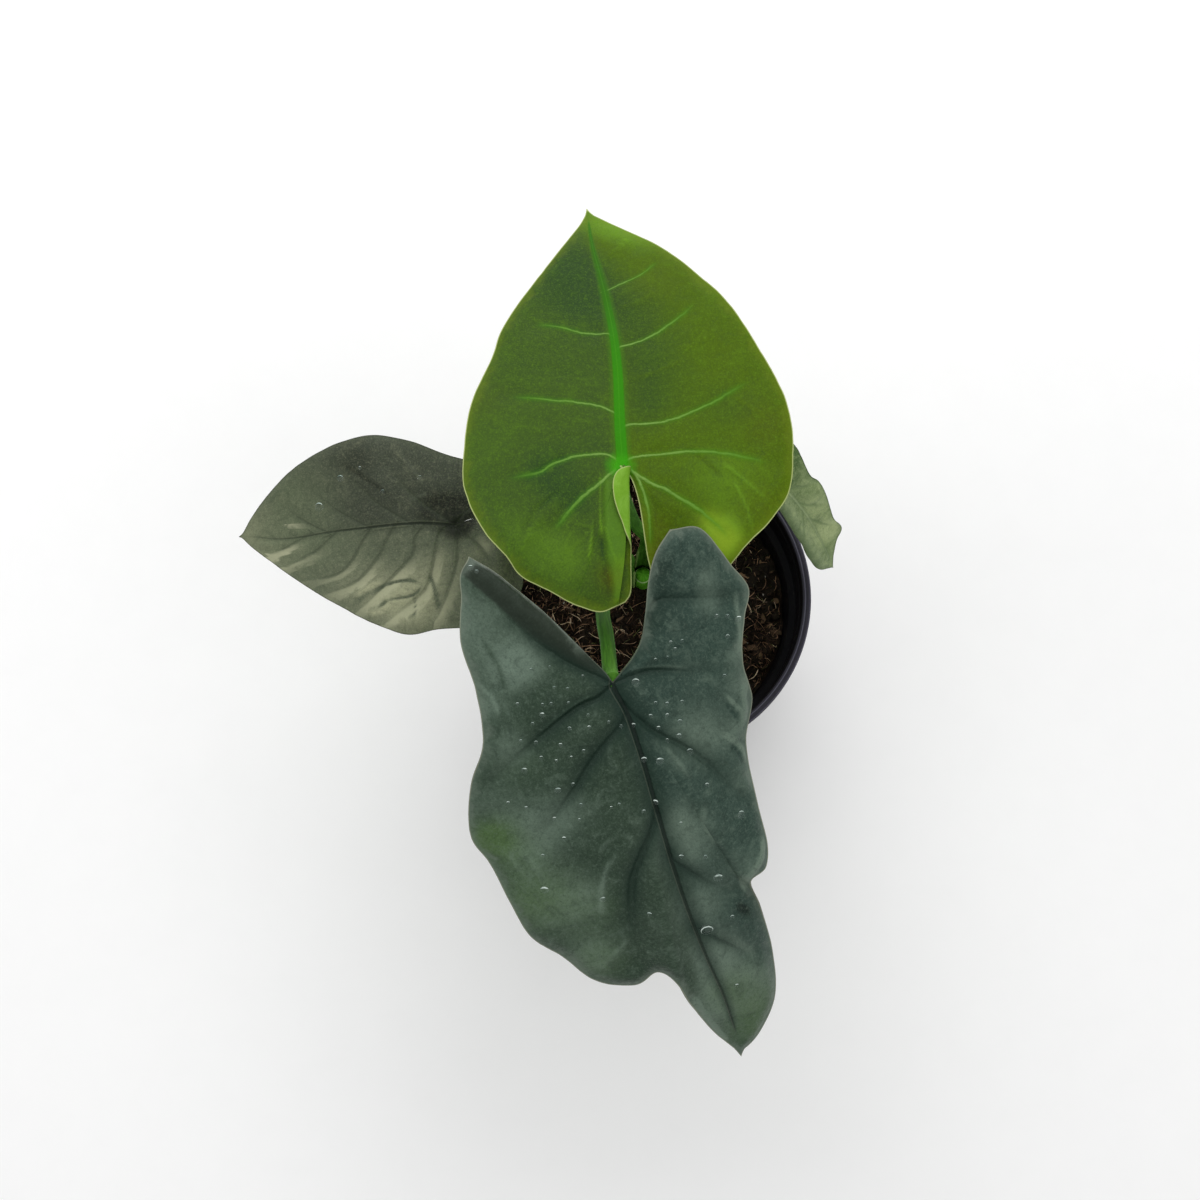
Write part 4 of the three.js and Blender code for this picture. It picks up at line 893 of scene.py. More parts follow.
stem_material("stem_green", (70, 120, 36), (46, 88, 22), (104, 148, 60), (140, 168, 96))
# a darker copy of the stem skin, painted shade for the two low stalks that stand in shadow under the upper
# blades
stem_material("stem_dark", (50, 70, 32), (34, 50, 22), (76, 98, 48), (104, 124, 74))
stem_material("bud_skin", (98, 168, 46), (70, 138, 26), (126, 188, 70), (190, 216, 156))
pot_material()
earth_material("potting_mix", 1.0, 0.95, (10, 8, 6), (38, 28, 19), (92, 70, 50), (20, 18, 11))
earth_material("bark", 1.0, 0.85, (20, 15, 11), (60, 44, 32), (120, 94, 70), (110, 88, 66))
earth_material("mineral", 0.6, 0.7, (150, 145, 135), (190, 186, 176), (214, 210, 202), (110, 104, 92))
earth_material("corm_skin", 2.0, 0.85, (60, 42, 28), (92, 68, 46), (120, 92, 62), (70, 50, 34))
coir_material()
moss_material()
water_materials()


# Blades

RINGS = np.concatenate([np.linspace(0, 0.955, 58), [0.966, 0.976, 0.984, 0.990, 0.995, 1]])
RAYS_PER_SPAN = 9    # rays from the joint for each stretch between two points of the outline
FLAP_ROWS = 22       # more rays, for the strip folded over at the young blade's slot
FAR = 40             # a distance that stands for no vein near
RIB_FAR = 30         # the same for the midrib, on the folded strip
UNDER_SHIFT = 40     # keeps the noise of the underside apart from that of the upper side
EDGE_HALF, MORE_INSIDE = 0.13, 0.19    # half the thickness at the margin, and how much more there is inside


def blade_frame(leaf):
    """The joint, and the directions along the blade, to its left and out of its upper side."""
    heading, fall = math.radians(leaf["heading"]), math.radians(leaf["fall"])
    ahead = np.array([math.cos(heading), math.sin(heading), 0])
    left = np.array([-math.sin(heading), math.cos(heading), 0])
    up = np.array([0, 0, 1])
    along = math.cos(fall) * ahead - math.sin(fall) * up
    normal = math.cos(fall) * up + math.sin(fall) * ahead
    return np.array(leaf["joint"], float), along, left, normal


def past_crease(curl, a, b):
    """How far flat places lie past a curl's crease, and the flat direction of that distance."""
    d = np.subtract(curl["to"], curl["from"])
    nx, ny = d[1] / np.hypot(*d), -d[0] / np.hypot(*d)
    return np.maximum((a - curl["from"][0]) * nx + (b - curl["from"][1]) * ny, 0), nx, ny


def curl_share(curl, s):
    """1 along the part of the outline that curls, fading to 0 beyond it."""
    return 1 - smooth(np.maximum(curl["part"][0] - s, s - curl["part"][1]) / curl["fade"])


def blade_surface(leaf, a, b, s, t):
    """The middle of the blade at flat places; s and t are their shares of the outline and out to it."""
    joint, along, left, normal = blade_frame(leaf)
    height = np.zeros_like(a)
    for curl in leaf["curls"]:
        past, nx, ny = past_crease(curl, a, b)
        turn = np.minimum(past / curl["radius"], math.radians(curl["turn"]) * curl_share(curl, s))
        rest = past - curl["radius"] * turn
        across = curl["radius"] * np.sin(turn) + rest * np.cos(turn)
        rise = curl["radius"] * (1 - np.cos(turn)) + rest * np.sin(turn)
        a, b, height = a + nx * (across - past), b + ny * (across - past), height + curl["up"] * rise
    keel = np.where(b > 0, leaf["keel"][0], leaf["keel"][1])
    height = height + keel * (np.hypot(b, leaf["keel_round"]) - leaf["keel_round"])
    for place, width, rise, power in leaf["waves"]:
        height = height + rise * np.exp(-(((s - place) / width) ** 2)) * t ** power
    bend = np.where(a > 0, leaf["bend"][0], leaf["bend"][1])
    angle = bend * a
    u = np.sin(angle) / bend + height * np.sin(angle)
    v = -(1 - np.cos(angle)) / bend + height * np.cos(angle)
    return joint + u[..., None] * along + v[..., None] * normal + b[..., None] * left


def blade_grid(leaf):
    """Flat places of the points, on rays from the joint, and each ray's share of the outline."""
    left = spline(leaf["left"], (len(leaf["left"]) - 1) * RAYS_PER_SPAN)
    right = spline(leaf["right"], (len(leaf["right"]) - 1) * RAYS_PER_SPAN)
    s = np.concatenate([np.linspace(0, 0.5, len(left)), np.linspace(0.5, 1, len(right))[1:]])
    outline = np.vstack([left, right[1:]])
    ragged = 0.16 * field.layered(flat_points(outline[:, 0], outline[:, 1], leaf["heading"]), 7, 3)
    ragged = ragged * smooth(s / 0.03) * smooth((1 - s) / 0.03)
    outline = outline * (1 + ragged / np.linalg.norm(outline, axis=1))[:, None]
    tip = leaf["tip_length"] * np.exp(-(((s - 0.5) / 0.0035) ** 2))
    outline = outline + unit(outline) * tip[:, None]
    slots = [
        spline([(0, 0), *leaf["left_slot"], leaf["left"][0]], 1200),
        spline([(0, 0), *leaf["right_slot"], leaf["right"][-1]], 1200),
    ]
    place = RINGS[None, :, None] * outline[:, None, :]
    for k, (slot, end) in enumerate(zip(slots, (outline[0], outline[-1]))):
        pull = np.exp(-(((s - k) / 0.12) ** 2))[:, None, None]
        place = place + pull * (by_length(slot, RINGS) - RINGS[:, None] * end)
    if "flap" not in leaf:
        return place, s, 0
    crease, edge = by_length(slots[0], RINGS), by_length(spline([(0, 0), *leaf["flap"]], 1200), RINGS)
    share = np.linspace(1, 0, FLAP_ROWS, endpoint=False)[:, None, None]
    place = np.concatenate([crease + share * (edge - crease), place])
    return place, np.concatenate([np.zeros(FLAP_ROWS), s]), FLAP_ROWS


def grid_faces(rays, rings):
    """Faces of rays of points that start in one common point, and the points along their border."""
    index = 1 + np.arange(rays + 1)[:, None] * rings + np.arange(rings)[None, :]
    quads = np.stack([index[:-1, :-1], index[1:, :-1], index[1:, 1:], index[:-1, 1:]], axis=-1)
    quads = quads.reshape(-1, 4)
    fans = np.stack([np.zeros(rays, int), index[1:, 0], index[:-1, 0]], axis=-1)
    return quads, fans, np.concatenate([[0], index[0], index[1:, -1], index[-1, ::-1][1:]])


def point_normals(points, quads, fans):
    normals = np.zeros_like(points)
    for faces, corners in ((quads, (0, 1, 2)), (quads, (0, 2, 3)), (fans, (0, 1, 2))):
        p, q, r = (points[faces[:, k]] for k in corners)
        cross = np.cross(q - p, r - p)
        for k in corners:
            np.add.at(normals, faces[:, k], cross)
    return unit(normals)


def beside(points, line):
    """Signed distance from a polyline, the share of its length where that is nearest, and its length."""
    best = np.full(len(points), 1e9)
    sign, place = np.zeros(len(points)), np.zeros(len(points))
    steps = np.linalg.norm(np.diff(line, axis=0), axis=1)
    start = np.concatenate([[0], np.cumsum(steps)])
    for i in np.flatnonzero(steps):
        d = (line[i + 1] - line[i]) / steps[i]
        rel = points - line[i]
        run = np.clip(rel @ d, 0, steps[i])
        away = rel - run[:, None] * d
        gap = np.hypot(away[:, 0], away[:, 1])
        near = gap < best
        best[near] = gap[near]
        sign[near] = np.sign(d[0] * rel[:, 1] - d[1] * rel[:, 0])[near]
        place[near] = (start[i] + run[near]) / start[-1]
    return best * np.where(sign == 0, 1, sign), place, start[-1]


def patch_sum(points, patches):
    total = np.zeros(len(points))
    for a, b, radius, value in patches:
        total += value * np.exp(-(((points[:, 0] - a) ** 2 + (points[:, 1] - b) ** 2) / radius ** 2))
    return total


def margin_distance(place, plane, on_flap, flap_rows):
    """How far each place lies from its own edge, that of the blade or that of its folded strip."""
    edge_line = np.vstack([place[flap_rows:, -1], place[-1, ::-1]])
    if not flap_rows:
        edge_line = np.vstack([place[0], edge_line])
    edge = np.abs(beside(plane, edge_line)[0])
    if flap_rows:
        flap_line = np.vstack([place[0], place[:flap_rows + 1, -1]])
        edge[on_flap] = np.abs(beside(plane[on_flap], flap_line)[0])
    return edge


def midrib_values(leaf, plane, on_flap):
    """Distance from the midrib, its half width there, and how far it stands out below."""
    gap, run, _ = beside(plane, spline(leaf["midrib"], 60))
    taper = 1 - leaf["midrib_taper"] * run ** leaf.get("midrib_power", 1.1)
    half = leaf["midrib_width"] / 2 * taper * smooth((1.02 - run) * 9)
    gap[on_flap], half[on_flap] = RIB_FAR, 0
    return gap, half, 1.3 * (1 - 0.9 * run) * np.exp(-((gap / 1.3) ** 2))


def vein_values(leaf, plane, on_flap):
    """Where each place lies beside its nearest side vein, and how far the side veins stand out below."""
    reach, second, lateral = (np.full(len(plane), float(FAR)) for _ in range(3))
    width, comb, ridge, travel = (np.zeros(len(plane)) for _ in range(4))
    for line, half, depth in leaf["veins"]:
        gap, share, length = beside(plane, spline(line, 30))
        away = np.abs(gap)
        nearer = (away < reach) & ~on_flap
        second = np.where(nearer, reach, np.minimum(second, away))
        reach[nearer], lateral[nearer], travel[nearer] = away[nearer], gap[nearer], share[nearer]
        width[nearer] = (half * (1 - 0.75 * share))[nearer]
        comb[nearer] = (share * length - 0.6 * away)[nearer]
        bulge = depth * (1 - 0.8 * share) * np.exp(-((gap / (half + 0.3)) ** 2))
        ridge = np.maximum(ridge, np.where(on_flap, 0, bulge))
    comb[on_flap] = plane[on_flap, 0] * 1.2
    clear = second - reach
    sided = np.clip(lateral / 1.5, -1, 1) * smooth(clear / 1.5)
    values = {"reach": reach, "lateral": lateral, "travel": travel, "width": width, "comb": comb}
    return values | {"clear": clear, "sided": sided}, ridge


def fold_values(leaf, plane, s, on_flap):
    """The raised strip beside the young blade's slot, and the curled places, painted shade and painted glow.
    """
    strip = np.zeros(len(plane))
    if "ridge" in leaf:
        gap = beside(plane, spline(leaf["ridge"], 40))[0]
        strip = smooth(gap / 2.2) * smooth(-plane[:, 0] / 7) * (s < 0.5)
    # a curl that turns up shows the underside; one that turns down gets painted shade
    curl = leaf["curls"][0]
    past = past_crease(curl, plane[:, 0], plane[:, 1])[0] * curl_share(curl, s)
    fold_and_painted_light = smooth(past / curl["radius"]) * ~on_flap
    # a strip of painted shade beside the slot
    if "shade" in leaf:
        gap = beside(plane, spline(leaf["shade"], 40))[0]
        painted_shade_strip = smooth(-gap / 1.2) * smooth((15 + gap) / 3) * smooth(-plane[:, 0] / 6) * (s > 0.5)
        fold_and_painted_light = np.maximum(fold_and_painted_light, painted_shade_strip)
    # bright spots: a painted glow of light through the blade
    return strip * ~on_flap, np.maximum(fold_and_painted_light, patch_sum(plane, leaf.get("bright", [])) * ~on_flap)


def crease_values(leaf, plane):
    """How much lighter the drawn creases are, partly painted highlights and shade on folds, and how far they
    stand out.
    """
    tone_and_painted_light, wrinkle = np.zeros(len(plane)), np.zeros(len(plane))
    for line, value, size in leaf.get("creases", []):
        gap, share, _ = beside(plane, spline(line, 24))
        mark = np.exp(-((gap / size) ** 2)) * smooth(share * 5) * smooth((1 - share) * 5)
        tone_and_painted_light, wrinkle = tone_and_painted_light + value * mark, wrinkle + 0.35 * np.sign(value) * mark
    return tone_and_painted_light, wrinkle


def blade(name, leaf):
    """A blade with its relief on top, its veins below and the values that its skin is coloured by."""
    place, s, flap_rows = blade_grid(leaf)
    rays, rings = place.shape[0] - 1, place.shape[1] - 1
    s = np.repeat(s[:, None], rings + 1, axis=1)
    t = np.repeat(RINGS[None, :], rays + 1, axis=0)
    middle = blade_surface(leaf, place[..., 0], place[..., 1], s, t)
    points, plane, s = (
        np.concatenate([grid[:1, 0], grid[:, 1:].reshape(-1, *grid.shape[2:])])
        for grid in (middle, place, s)
    )
    on_flap = np.concatenate([[False], np.repeat(np.arange(rays + 1) < flap_rows, rings)])
    quads, fans, border = grid_faces(rays, rings)
    normals = point_normals(points, quads, fans)
    edge = margin_distance(place, plane, on_flap, flap_rows)
    rib_gap, rib_half, rib_ridge = midrib_values(leaf, plane, on_flap)
    veins, ridge = vein_values(leaf, plane, on_flap)
    strip, fold_and_painted_light = fold_values(leaf, plane, s, on_flap)
    crease_tone_and_painted_light, wrinkle = crease_values(leaf, plane)

    # relief: cushions between the veins, a groove or ridge along them, and soft unevenness
    spot = flat_points(plane[:, 0], plane[:, 1], leaf["fall"])
    from_joint = np.linalg.norm(plane, axis=1)
    nearest = np.minimum(veins["reach"], np.abs(rib_gap))
    cushion = leaf["cushion"] * (1 - np.exp(-((nearest / 3.2) ** 2)))
    cushion = cushion * smooth(edge / 5) * smooth(from_joint / 9)
    along_veins = np.exp(-((veins["lateral"] / 0.9) ** 2)) * (veins["reach"] < 3) * veins["width"]
    groove = leaf["groove"] * (along_veins + np.exp(-((rib_gap / 1.1) ** 2)) * rib_half)
    uneven = 0.22 * field.layered(spot, 11, 3) + 0.05 * field.layered(spot + 90, 2.4, 2)
    uneven = uneven * smooth(edge / 2)
    relief = cushion + groove + uneven + (1.2 * strip + wrinkle) * smooth(edge / 1.5)
    half = EDGE_HALF + MORE_INSIDE * smooth(edge / 2.5)
    depth = np.maximum(ridge, rib_ridge) + 1.1 * np.exp(-(from_joint / 2.6) ** 2)
    top = points + normals * (half + relief)[:, None]
    under = points - normals * (half - relief + depth)[:, None]

    count = len(points)
    after = np.roll(border, -1)
    rim = np.stack([border, after, after + count, border + count], axis=-1)
    below = (*(quads[:, ::-1] + count), *(fans[:, ::-1] + count))
    shown = {
        "middle": rib_gap, "middle_width": rib_half, "edge": edge, "strip": strip, "fold_and_painted_light": fold_and_painted_light,
        "tone_and_painted_light": (patch_sum(plane, leaf["patches"]) + crease_tone_and_painted_light) * ~on_flap,
        "tint": patch_sum(plane, leaf["tints"]) * ~on_flap, **veins,
    }
    values = {key: np.concatenate([value, value]) for key, value in shown.items()}
    values["plane"] = np.vstack([spot, spot + (0, 0, UNDER_SHIFT)])
    values["under"] = np.repeat([0.0, 1.0], count)
    points, faces = np.vstack([top, under]), [*quads, *fans, *below, *rim]
    look = leaf["look"]
    make_piece(name.replace("leaf", "blade"), points, faces, look, values, name, sharp=75)
    leaf["skin"] = BVHTree.FromPolygons(top.tolist(), quads.tolist())


for leaf_name, leaf in LEAVES.items():
    blade(leaf_name, leaf)


# Stems and crown

ARC = 18                # sides of the inside and of the outside of a section
SHEATH_ROWS, CLOSING_ROWS = 22, 12
SHEATH_SHARE = 0.85     # how much of the way up the sheath narrows
CLOSING = 16            # height over which the sheath closes into a round stalk


def sheath_thickness(turn, span):
    share = np.minimum(np.abs(turn) / span, 1)
    return CROWN["wing"] + (CROWN["body"] - CROWN["wing"]) * np.cos(share * math.pi / 2) ** 2


def inner_radius(level, angle):
    """How far out a sheath starts: round the bud, or for the outer level also round the inner sheaths."""
    angle = np.asarray(angle, float)
    first = CROWN["bud"] + CROWN["gap"]
    if level == 0:
        return np.full_like(angle, first)
    reach = np.zeros_like(angle)
    for stem in STEMS.values():
        if stem["level"] == 0:
            for near in (-14, 0, 14):
                turn = (angle + near - stem["side"] + 180) % 360 - 180
                reach = np.maximum(reach, sheath_thickness(turn, stem["span"]))
    return first + reach + CROWN["gap"]


def crown_point(angle, radius, z):
    scale = 1 - CROWN["narrowing"] * smooth((z - CROWN["foot"]) / (CROWN["neck"] - CROWN["foot"]))
    angle = np.radians(angle)
    x = CROWN["centre"][0] + radius * scale * np.cos(angle)
    y = CROWN["centre"][1] + radius * scale * np.sin(angle)
    return np.stack(np.broadcast_arrays(x, y, z), axis=-1)


def there_and_back(low, high, back_low, back_high):
    """Even values for the outside of a section, and then for its inside."""
    return np.concatenate([np.linspace(low, high, ARC + 1), np.linspace(back_low, back_high, ARC + 1)])


def sheath_section(stem, z, reach):
    turn = there_and_back(-reach, reach, reach, -reach)
    outside = np.arange(2 * ARC + 2) <= ARC
    inner = inner_radius(stem["level"], stem["side"] + turn)
    return crown_point(stem["side"] + turn, inner + outside * sheath_thickness(turn, reach), z)


def round_section(middle, away, across, radius):
    angle = np.radians(there_and_back(-80, 80, 100, 260))
    return middle + radius * (np.cos(angle)[:, None] * away + np.sin(angle)[:, None] * across)


def stalk_curve(stem, leaf, foot):
    """The stalk's middle line, from the sheath's top to its seat below the blade."""
    joint, _, _, normal = blade_frame(leaf)
    seat = joint - normal * 1.85
    arrival = unit(seat - stem["way"][-1])
    lead = seat - normal * 1.6 - arrival * 3.2
    return centripetal([foot, *stem["way"], lead, seat, seat + normal * 1.5], 60)


def stem_piece(name, stem):
    leaf = next(item for item in LEAVES.values() if item["stem"] == name)
    side = math.radians(stem["side"])
    away = np.array([math.cos(side), math.sin(side), 0])
    across = np.array([-away[1], away[0], 0])
    opening = stem["top"] - CLOSING
    start = float(inner_radius(stem["level"], stem["side"])) + stem["radius"]
    sections, wing = [], []
    lip = np.abs(there_and_back(-1, 1, 1, -1))
    for share in np.linspace(0, SHEATH_SHARE, SHEATH_ROWS):
        z = CROWN["foot"] + (opening - CROWN["foot"]) * share / SHEATH_SHARE
        sections.append(sheath_section(stem, z, stem["span"] * (1 - 0.25 * share)))
        wing.append(lip)
    for share in np.linspace(0.08, 0.94, CLOSING_ROWS):
        z = opening + CLOSING * share
        sheath = sheath_section(stem, z, stem["span"] * (0.79 - 0.45 * share))
        tube = round_section(crown_point(stem["side"], start, z), away, across, stem["radius"])
        sections.append(sheath + (tube - sheath) * smooth(share))
        wing.append(lip * (1 - smooth(share)))
    curve = stalk_curve(stem, leaf, crown_point(stem["side"], start, float(stem["top"])))
    length = np.linalg.norm(np.diff(curve, axis=0), axis=1).sum()
    shares = np.linspace(0, 1, int(length / 1.1))
    centre = by_length(curve, shares)
    for share, middle, forward in zip(shares, centre, unit(np.gradient(centre, axis=0))):
        right = unit(np.cross(forward, away))
        out = np.cross(right, forward)
        swell = 0.04 * stem["radius"] * field(np.array([middle * (1, 1, 0.4)]), 6)[0]
        flare = 0.55 * math.exp(-((1 - share) * length / 3.5) ** 2)
        radius = stem["radius"] + (stem["tip"] - stem["radius"]) * share + swell + flare
        section = round_section(middle, out, right, radius)
        # a shallow channel along the upper side, fading towards the sheath and the blade
        section[ARC // 2 - 2:ARC // 2 + 3] -= out * 0.16 * smooth(share * 6) * smooth((1 - share) * 6)
        sections.append(section)
        wing.append(0 * lip)
    points = np.array(sections)
    rows, count = points.shape[:2]
    angle = 2 * math.pi * np.broadcast_to(np.linspace(0, 1, count, endpoint=False), (rows, count))
    travel = np.concatenate([[0], np.cumsum(np.linalg.norm(np.diff(points.mean(axis=1), axis=0), axis=1))])
    run = np.broadcast_to(travel[:, None] * 0.09, (rows, count))
    points = points.reshape(-1, 3)
    values = {
        "grain": np.stack([np.cos(angle) * 2.2, np.sin(angle) * 2.2, run], axis=-1).reshape(-1, 3),
        "wing": np.ravel(wing), "foot": 0.1 + 0.9 * (1 - smooth((points[:, 2] - SOIL["top"]) / 14)),
    }
    new_name, look = name.replace("petiole", "stem"), stem["look"]
    make_piece(new_name, points, loft_faces(rows, count), look, values, name, sharp=60)


for stem_name, stem in STEMS.items():
    stem_piece(stem_name, stem)


def bud_piece():
    foot, top, radius = CROWN["foot"], CROWN["bud_top"], CROWN["bud"]
    outline = spline([
        (radius, foot), (radius, foot + 5), (radius * 0.98, top - 5), (radius * 0.86, top - 2.4),
        (radius * 0.62, top - 0.8), (radius * 0.3, top - 0.15), (0.02, top),
    ], 44)
    sides = 56
    angle = np.linspace(0, 2 * math.pi, sides, endpoint=False)
    r, height = outline[:, :1], np.repeat(outline[:, 1], sides)
    crease = 1 - 0.05 * np.exp(-((angle - 4.2) / 0.16) ** 2) * smooth((top - outline[:, 1:]) / 3)
    x, y = (r * crease * np.cos(angle)).ravel(), (r * crease * np.sin(angle)).ravel()
    points = np.stack([CROWN["centre"][0] + x, CROWN["centre"][1] + y, height], axis=-1)
    turns = np.tile(angle, len(outline))
    values = {
        "grain": np.stack([np.cos(turns) * 2, np.sin(turns) * 2, height * 0.1], axis=-1),
        "wing": 0.75 + 0.2 * np.exp(-((height - (top - 1.9)) / 0.5) ** 2),
        "foot": 0.9 * (1 - smooth((height - SOIL["top"]) / 8)),
    }
    make_piece("bud", points, loft_faces(len(outline), sides), "bud_skin", values, "bud_sheath")


bud_piece()


# Pot

COLLAR_Z = POT["height"] - POT["collar"]
WALL_TOP = POT["collar_foot"] - POT["ledge"]
FLOOR_TOP = POT["recess"] + POT["floor"]
HOLE_SIDES = 40


def turned(profile, sides):
    """A turned solid, from an outline of (radius, height) that starts and ends on the axis."""
    angle = np.linspace(0, 2 * math.pi, sides, endpoint=False)
    r, z = profile[1:-1, :1], profile[1:-1, 1:]
    rings = np.stack([r * np.cos(angle), r * np.sin(angle), np.repeat(z, sides, axis=1)], axis=-1)
    return closed_rings(rings, (0, 0, profile[0][1]), (0, 0, profile[-1][1]))


def rounded(points, radius, steps=4):
    """An outline with its corners rounded off, apart from its two ends."""
    out = [points[0]]
    for a, b, c in zip(points, points[1:], points[2:]):
        a, b, c = (np.array(p, float) for p in (a, b, c))
        reach = min(radius, 0.45 * np.linalg.norm(b - a), 0.45 * np.linalg.norm(c - b))
        start, end = b + unit(a - b) * reach, b + unit(c - b) * reach
        for w in np.linspace(0, 1, steps + 1):
            out.append((1 - w) ** 2 * start + 2 * w * (1 - w) * b + w ** 2 * end)
    return np.array([tuple(p) for p in (*out, points[-1])], float)


def wall_radius(z):
    return POT["base"] + (WALL_TOP - POT["base"]) * z / COLLAR_Z


def pot_profile():
    """Half a section of the pot, from its pad up the outside and down the inside to its floor."""
    rim, top, wall, collar = POT["rim"], POT["height"], POT["wall"], POT["collar_foot"]
    lip_in, lip_z, foot_in = rim - POT["lip_width"], top - POT["lip_depth"], POT["base"] - POT["foot"]
    floor_out = wall_radius(FLOOR_TOP) - wall
    return [
        (0, 0), (POT["pad"], 0), (POT["pad"] + 1, POT["recess"]), (foot_in - 1, POT["recess"]),
        (foot_in, 0), (POT["base"], 0), (wall_radius(20), 20), (wall_radius(45), 45), (wall_radius(70), 70),
        (WALL_TOP, COLLAR_Z), (collar, COLLAR_Z + 1), (57.65, 95.5), (POT["collar_top"], lip_z + wall),
        (rim - wall * 0.6, lip_z + wall), (rim - wall * 0.6, lip_z), (rim, lip_z), (rim, top - 0.5),
        (rim - 0.5, top), (lip_in + 1.9, top), (lip_in + 1.6, top - 0.28), (lip_in + 0.6, top - 0.28),
        (lip_in, top - 0.9), (lip_in - 0.25, 99.5), (lip_in - 0.6, 99.1), (56.0, 94),
        (collar - wall, COLLAR_Z + 1.9), (wall_radius(COLLAR_Z) - wall, COLLAR_Z - 1),
        (wall_radius(70) - wall, 70), (wall_radius(40) - wall, 40), (floor_out, FLOOR_TOP + 1.2),
        (floor_out - 1.4, FLOOR_TOP), (0, FLOOR_TOP),
    ]


def drain_cutter():
    """Round prisms that cut the drain holes through the pot's floor."""
    around = 2 * math.pi * np.arange(POT["holes"])[:, None] / POT["holes"]
    rim = 2 * math.pi * np.arange(HOLE_SIDES) / HOLE_SIDES
    x = POT["hole_ring"] * np.cos(around) + POT["hole"] * np.cos(rim)
    y = POT["hole_ring"] * np.sin(around) + POT["hole"] * np.sin(rim)
    ends = [np.stack([x, y, np.full_like(x, z)], axis=-1) for z in (FLOOR_TOP - 5, FLOOR_TOP + 3)]
    points = np.stack(ends, axis=1).reshape(-1, 3) * MM
    prism = [*ring_faces(2, HOLE_SIDES), range(HOLE_SIDES - 1, -1, -1), range(HOLE_SIDES, 2 * HOLE_SIDES)]
    mesh = bpy.data.meshes.new("drain_cutter")
    mesh.from_pydata(points.tolist(), [], repeated(prism, POT["holes"]))
    return bpy.data.objects.new("drain_cutter", mesh)


def pot_piece():
    points, faces = turned(rounded(pot_profile(), 0.35), POT["sides"])
    piece = make_piece("pot_moulding", points, faces, "pot_plastic", None, "pot")
    cutter = drain_cutter()
    bpy.context.scene.collection.objects.link(cutter)
    cut = piece.modifiers.new("holes", "BOOLEAN")
    cut.object, cut.operation, cut.solver = cutter, "DIFFERENCE", "EXACT"
    mesh = bpy.data.meshes.new_from_object(piece.evaluated_get(bpy.context.evaluated_depsgraph_get()))
    piece.modifiers.clear()
    piece.data = mesh
    bpy.data.objects.remove(cutter)

    place = np.zeros(len(mesh.vertices) * 3)
    mesh.vertices.foreach_get("co", place)
    x, y, z = place.reshape(-1, 3).T / MM
    inner = (np.hypot(x, y) < wall_radius(np.minimum(z, COLLAR_Z)) - 0.6) & (z > FLOOR_TOP - 0.5)
    set_values(mesh, {"inside": inner * (1 - smooth((z - 84) / 14)), "lip": smooth((z - 104.2) / 0.5)})
    smooth_faces(mesh, 40)


pot_piece()


# Soil

def soil_surface(x, y):
    """The height of the soil: a mound at the crown, slow swells, clods and crumbs."""
    mound = 3.5 * np.exp(-((x - CROWN["centre"][0]) ** 2 + (y - CROWN["centre"][1]) ** 2) / 450)
    swell = np.sin(x * 0.19 + 1.3) * np.cos(y * 0.23 - 0.4) + 0.6 * np.sin(x * 0.41 - y * 0.37 + 2)
    spot = flat_points(x, y)
    clods = np.abs(field.layered(spot + 400, 8, 3)) * 2.8
    crumbs = np.abs(field.layered(spot + 700, 2.6, 3)) * 1.4
    return SOIL["top"] + mound + SOIL["swell"] * 0.5 * swell + clods + crumbs - 1.8


def soil_piece():
    rings, sides = SOIL["rings"], SOIL["sides"]
    outer = wall_radius(SOIL["top"]) - POT["wall"] - 0.05
    shares = (np.arange(rings) + 0.6)[:, None] / (rings - 0.4)
    angle = np.linspace(0, 2 * math.pi, sides, endpoint=False)
    r = outer * shares * np.ones(sides)
    r = r + 0.12 * field(flat_points(r * np.cos(angle) + 50, r * np.sin(angle)), 1.1) * (shares < 1)
    x, y = r * np.cos(angle), r * np.sin(angle)
    rows = [*np.stack([x, y, soil_surface(x, y)], axis=-1)]
    for z in (70.0, 40.0, 20.0, FLOOR_TOP + 0.4):
        radius = wall_radius(z) - POT["wall"] - 0.3 - (1.2 if z < 5 else 0)
        rows.append(np.stack([radius * np.cos(angle), radius * np.sin(angle), np.full(sides, z)], axis=-1))
    middle = float(soil_surface(np.array(0.0), np.array(0.0)))
    points, faces = closed_rings(np.array(rows), (0, 0, middle), (0, 0, FLOOR_TOP + 0.4), flip=True)
    damp = smooth(0.5 + field.layered(points, 14, 2)) * 0.7
    make_piece("soil_bed", points, faces, "potting_mix", {"tint": damp}, "soil")


soil_piece()

THREAD_REACH, LUMP_REACH = 50.5, 50    # how far from the pot's axis loose threads and lumps lie
CLEAR = 8.5                            # how far from the crown they start


def on_soil(rng, count, reach, clump=0.0):
    """Random places on the soil, away from the crown; with clump, mostly in tufts."""
    out = []
    while len(out) < count:
        r, turn = reach * math.sqrt(rng.random()), 2 * math.pi * rng.random()
        x, y = r * math.cos(turn), r * math.sin(turn)
        dense = field.layered(np.array([[x + 230.0, y, 0.0]]), 6.5, 2)[0]
        free = math.hypot(x - CROWN["centre"][0], y - CROWN["centre"][1]) > CLEAR
        if free and (dense > 0.08 or rng.random() > clump):
            out.append((x, y))
    return np.array(out)


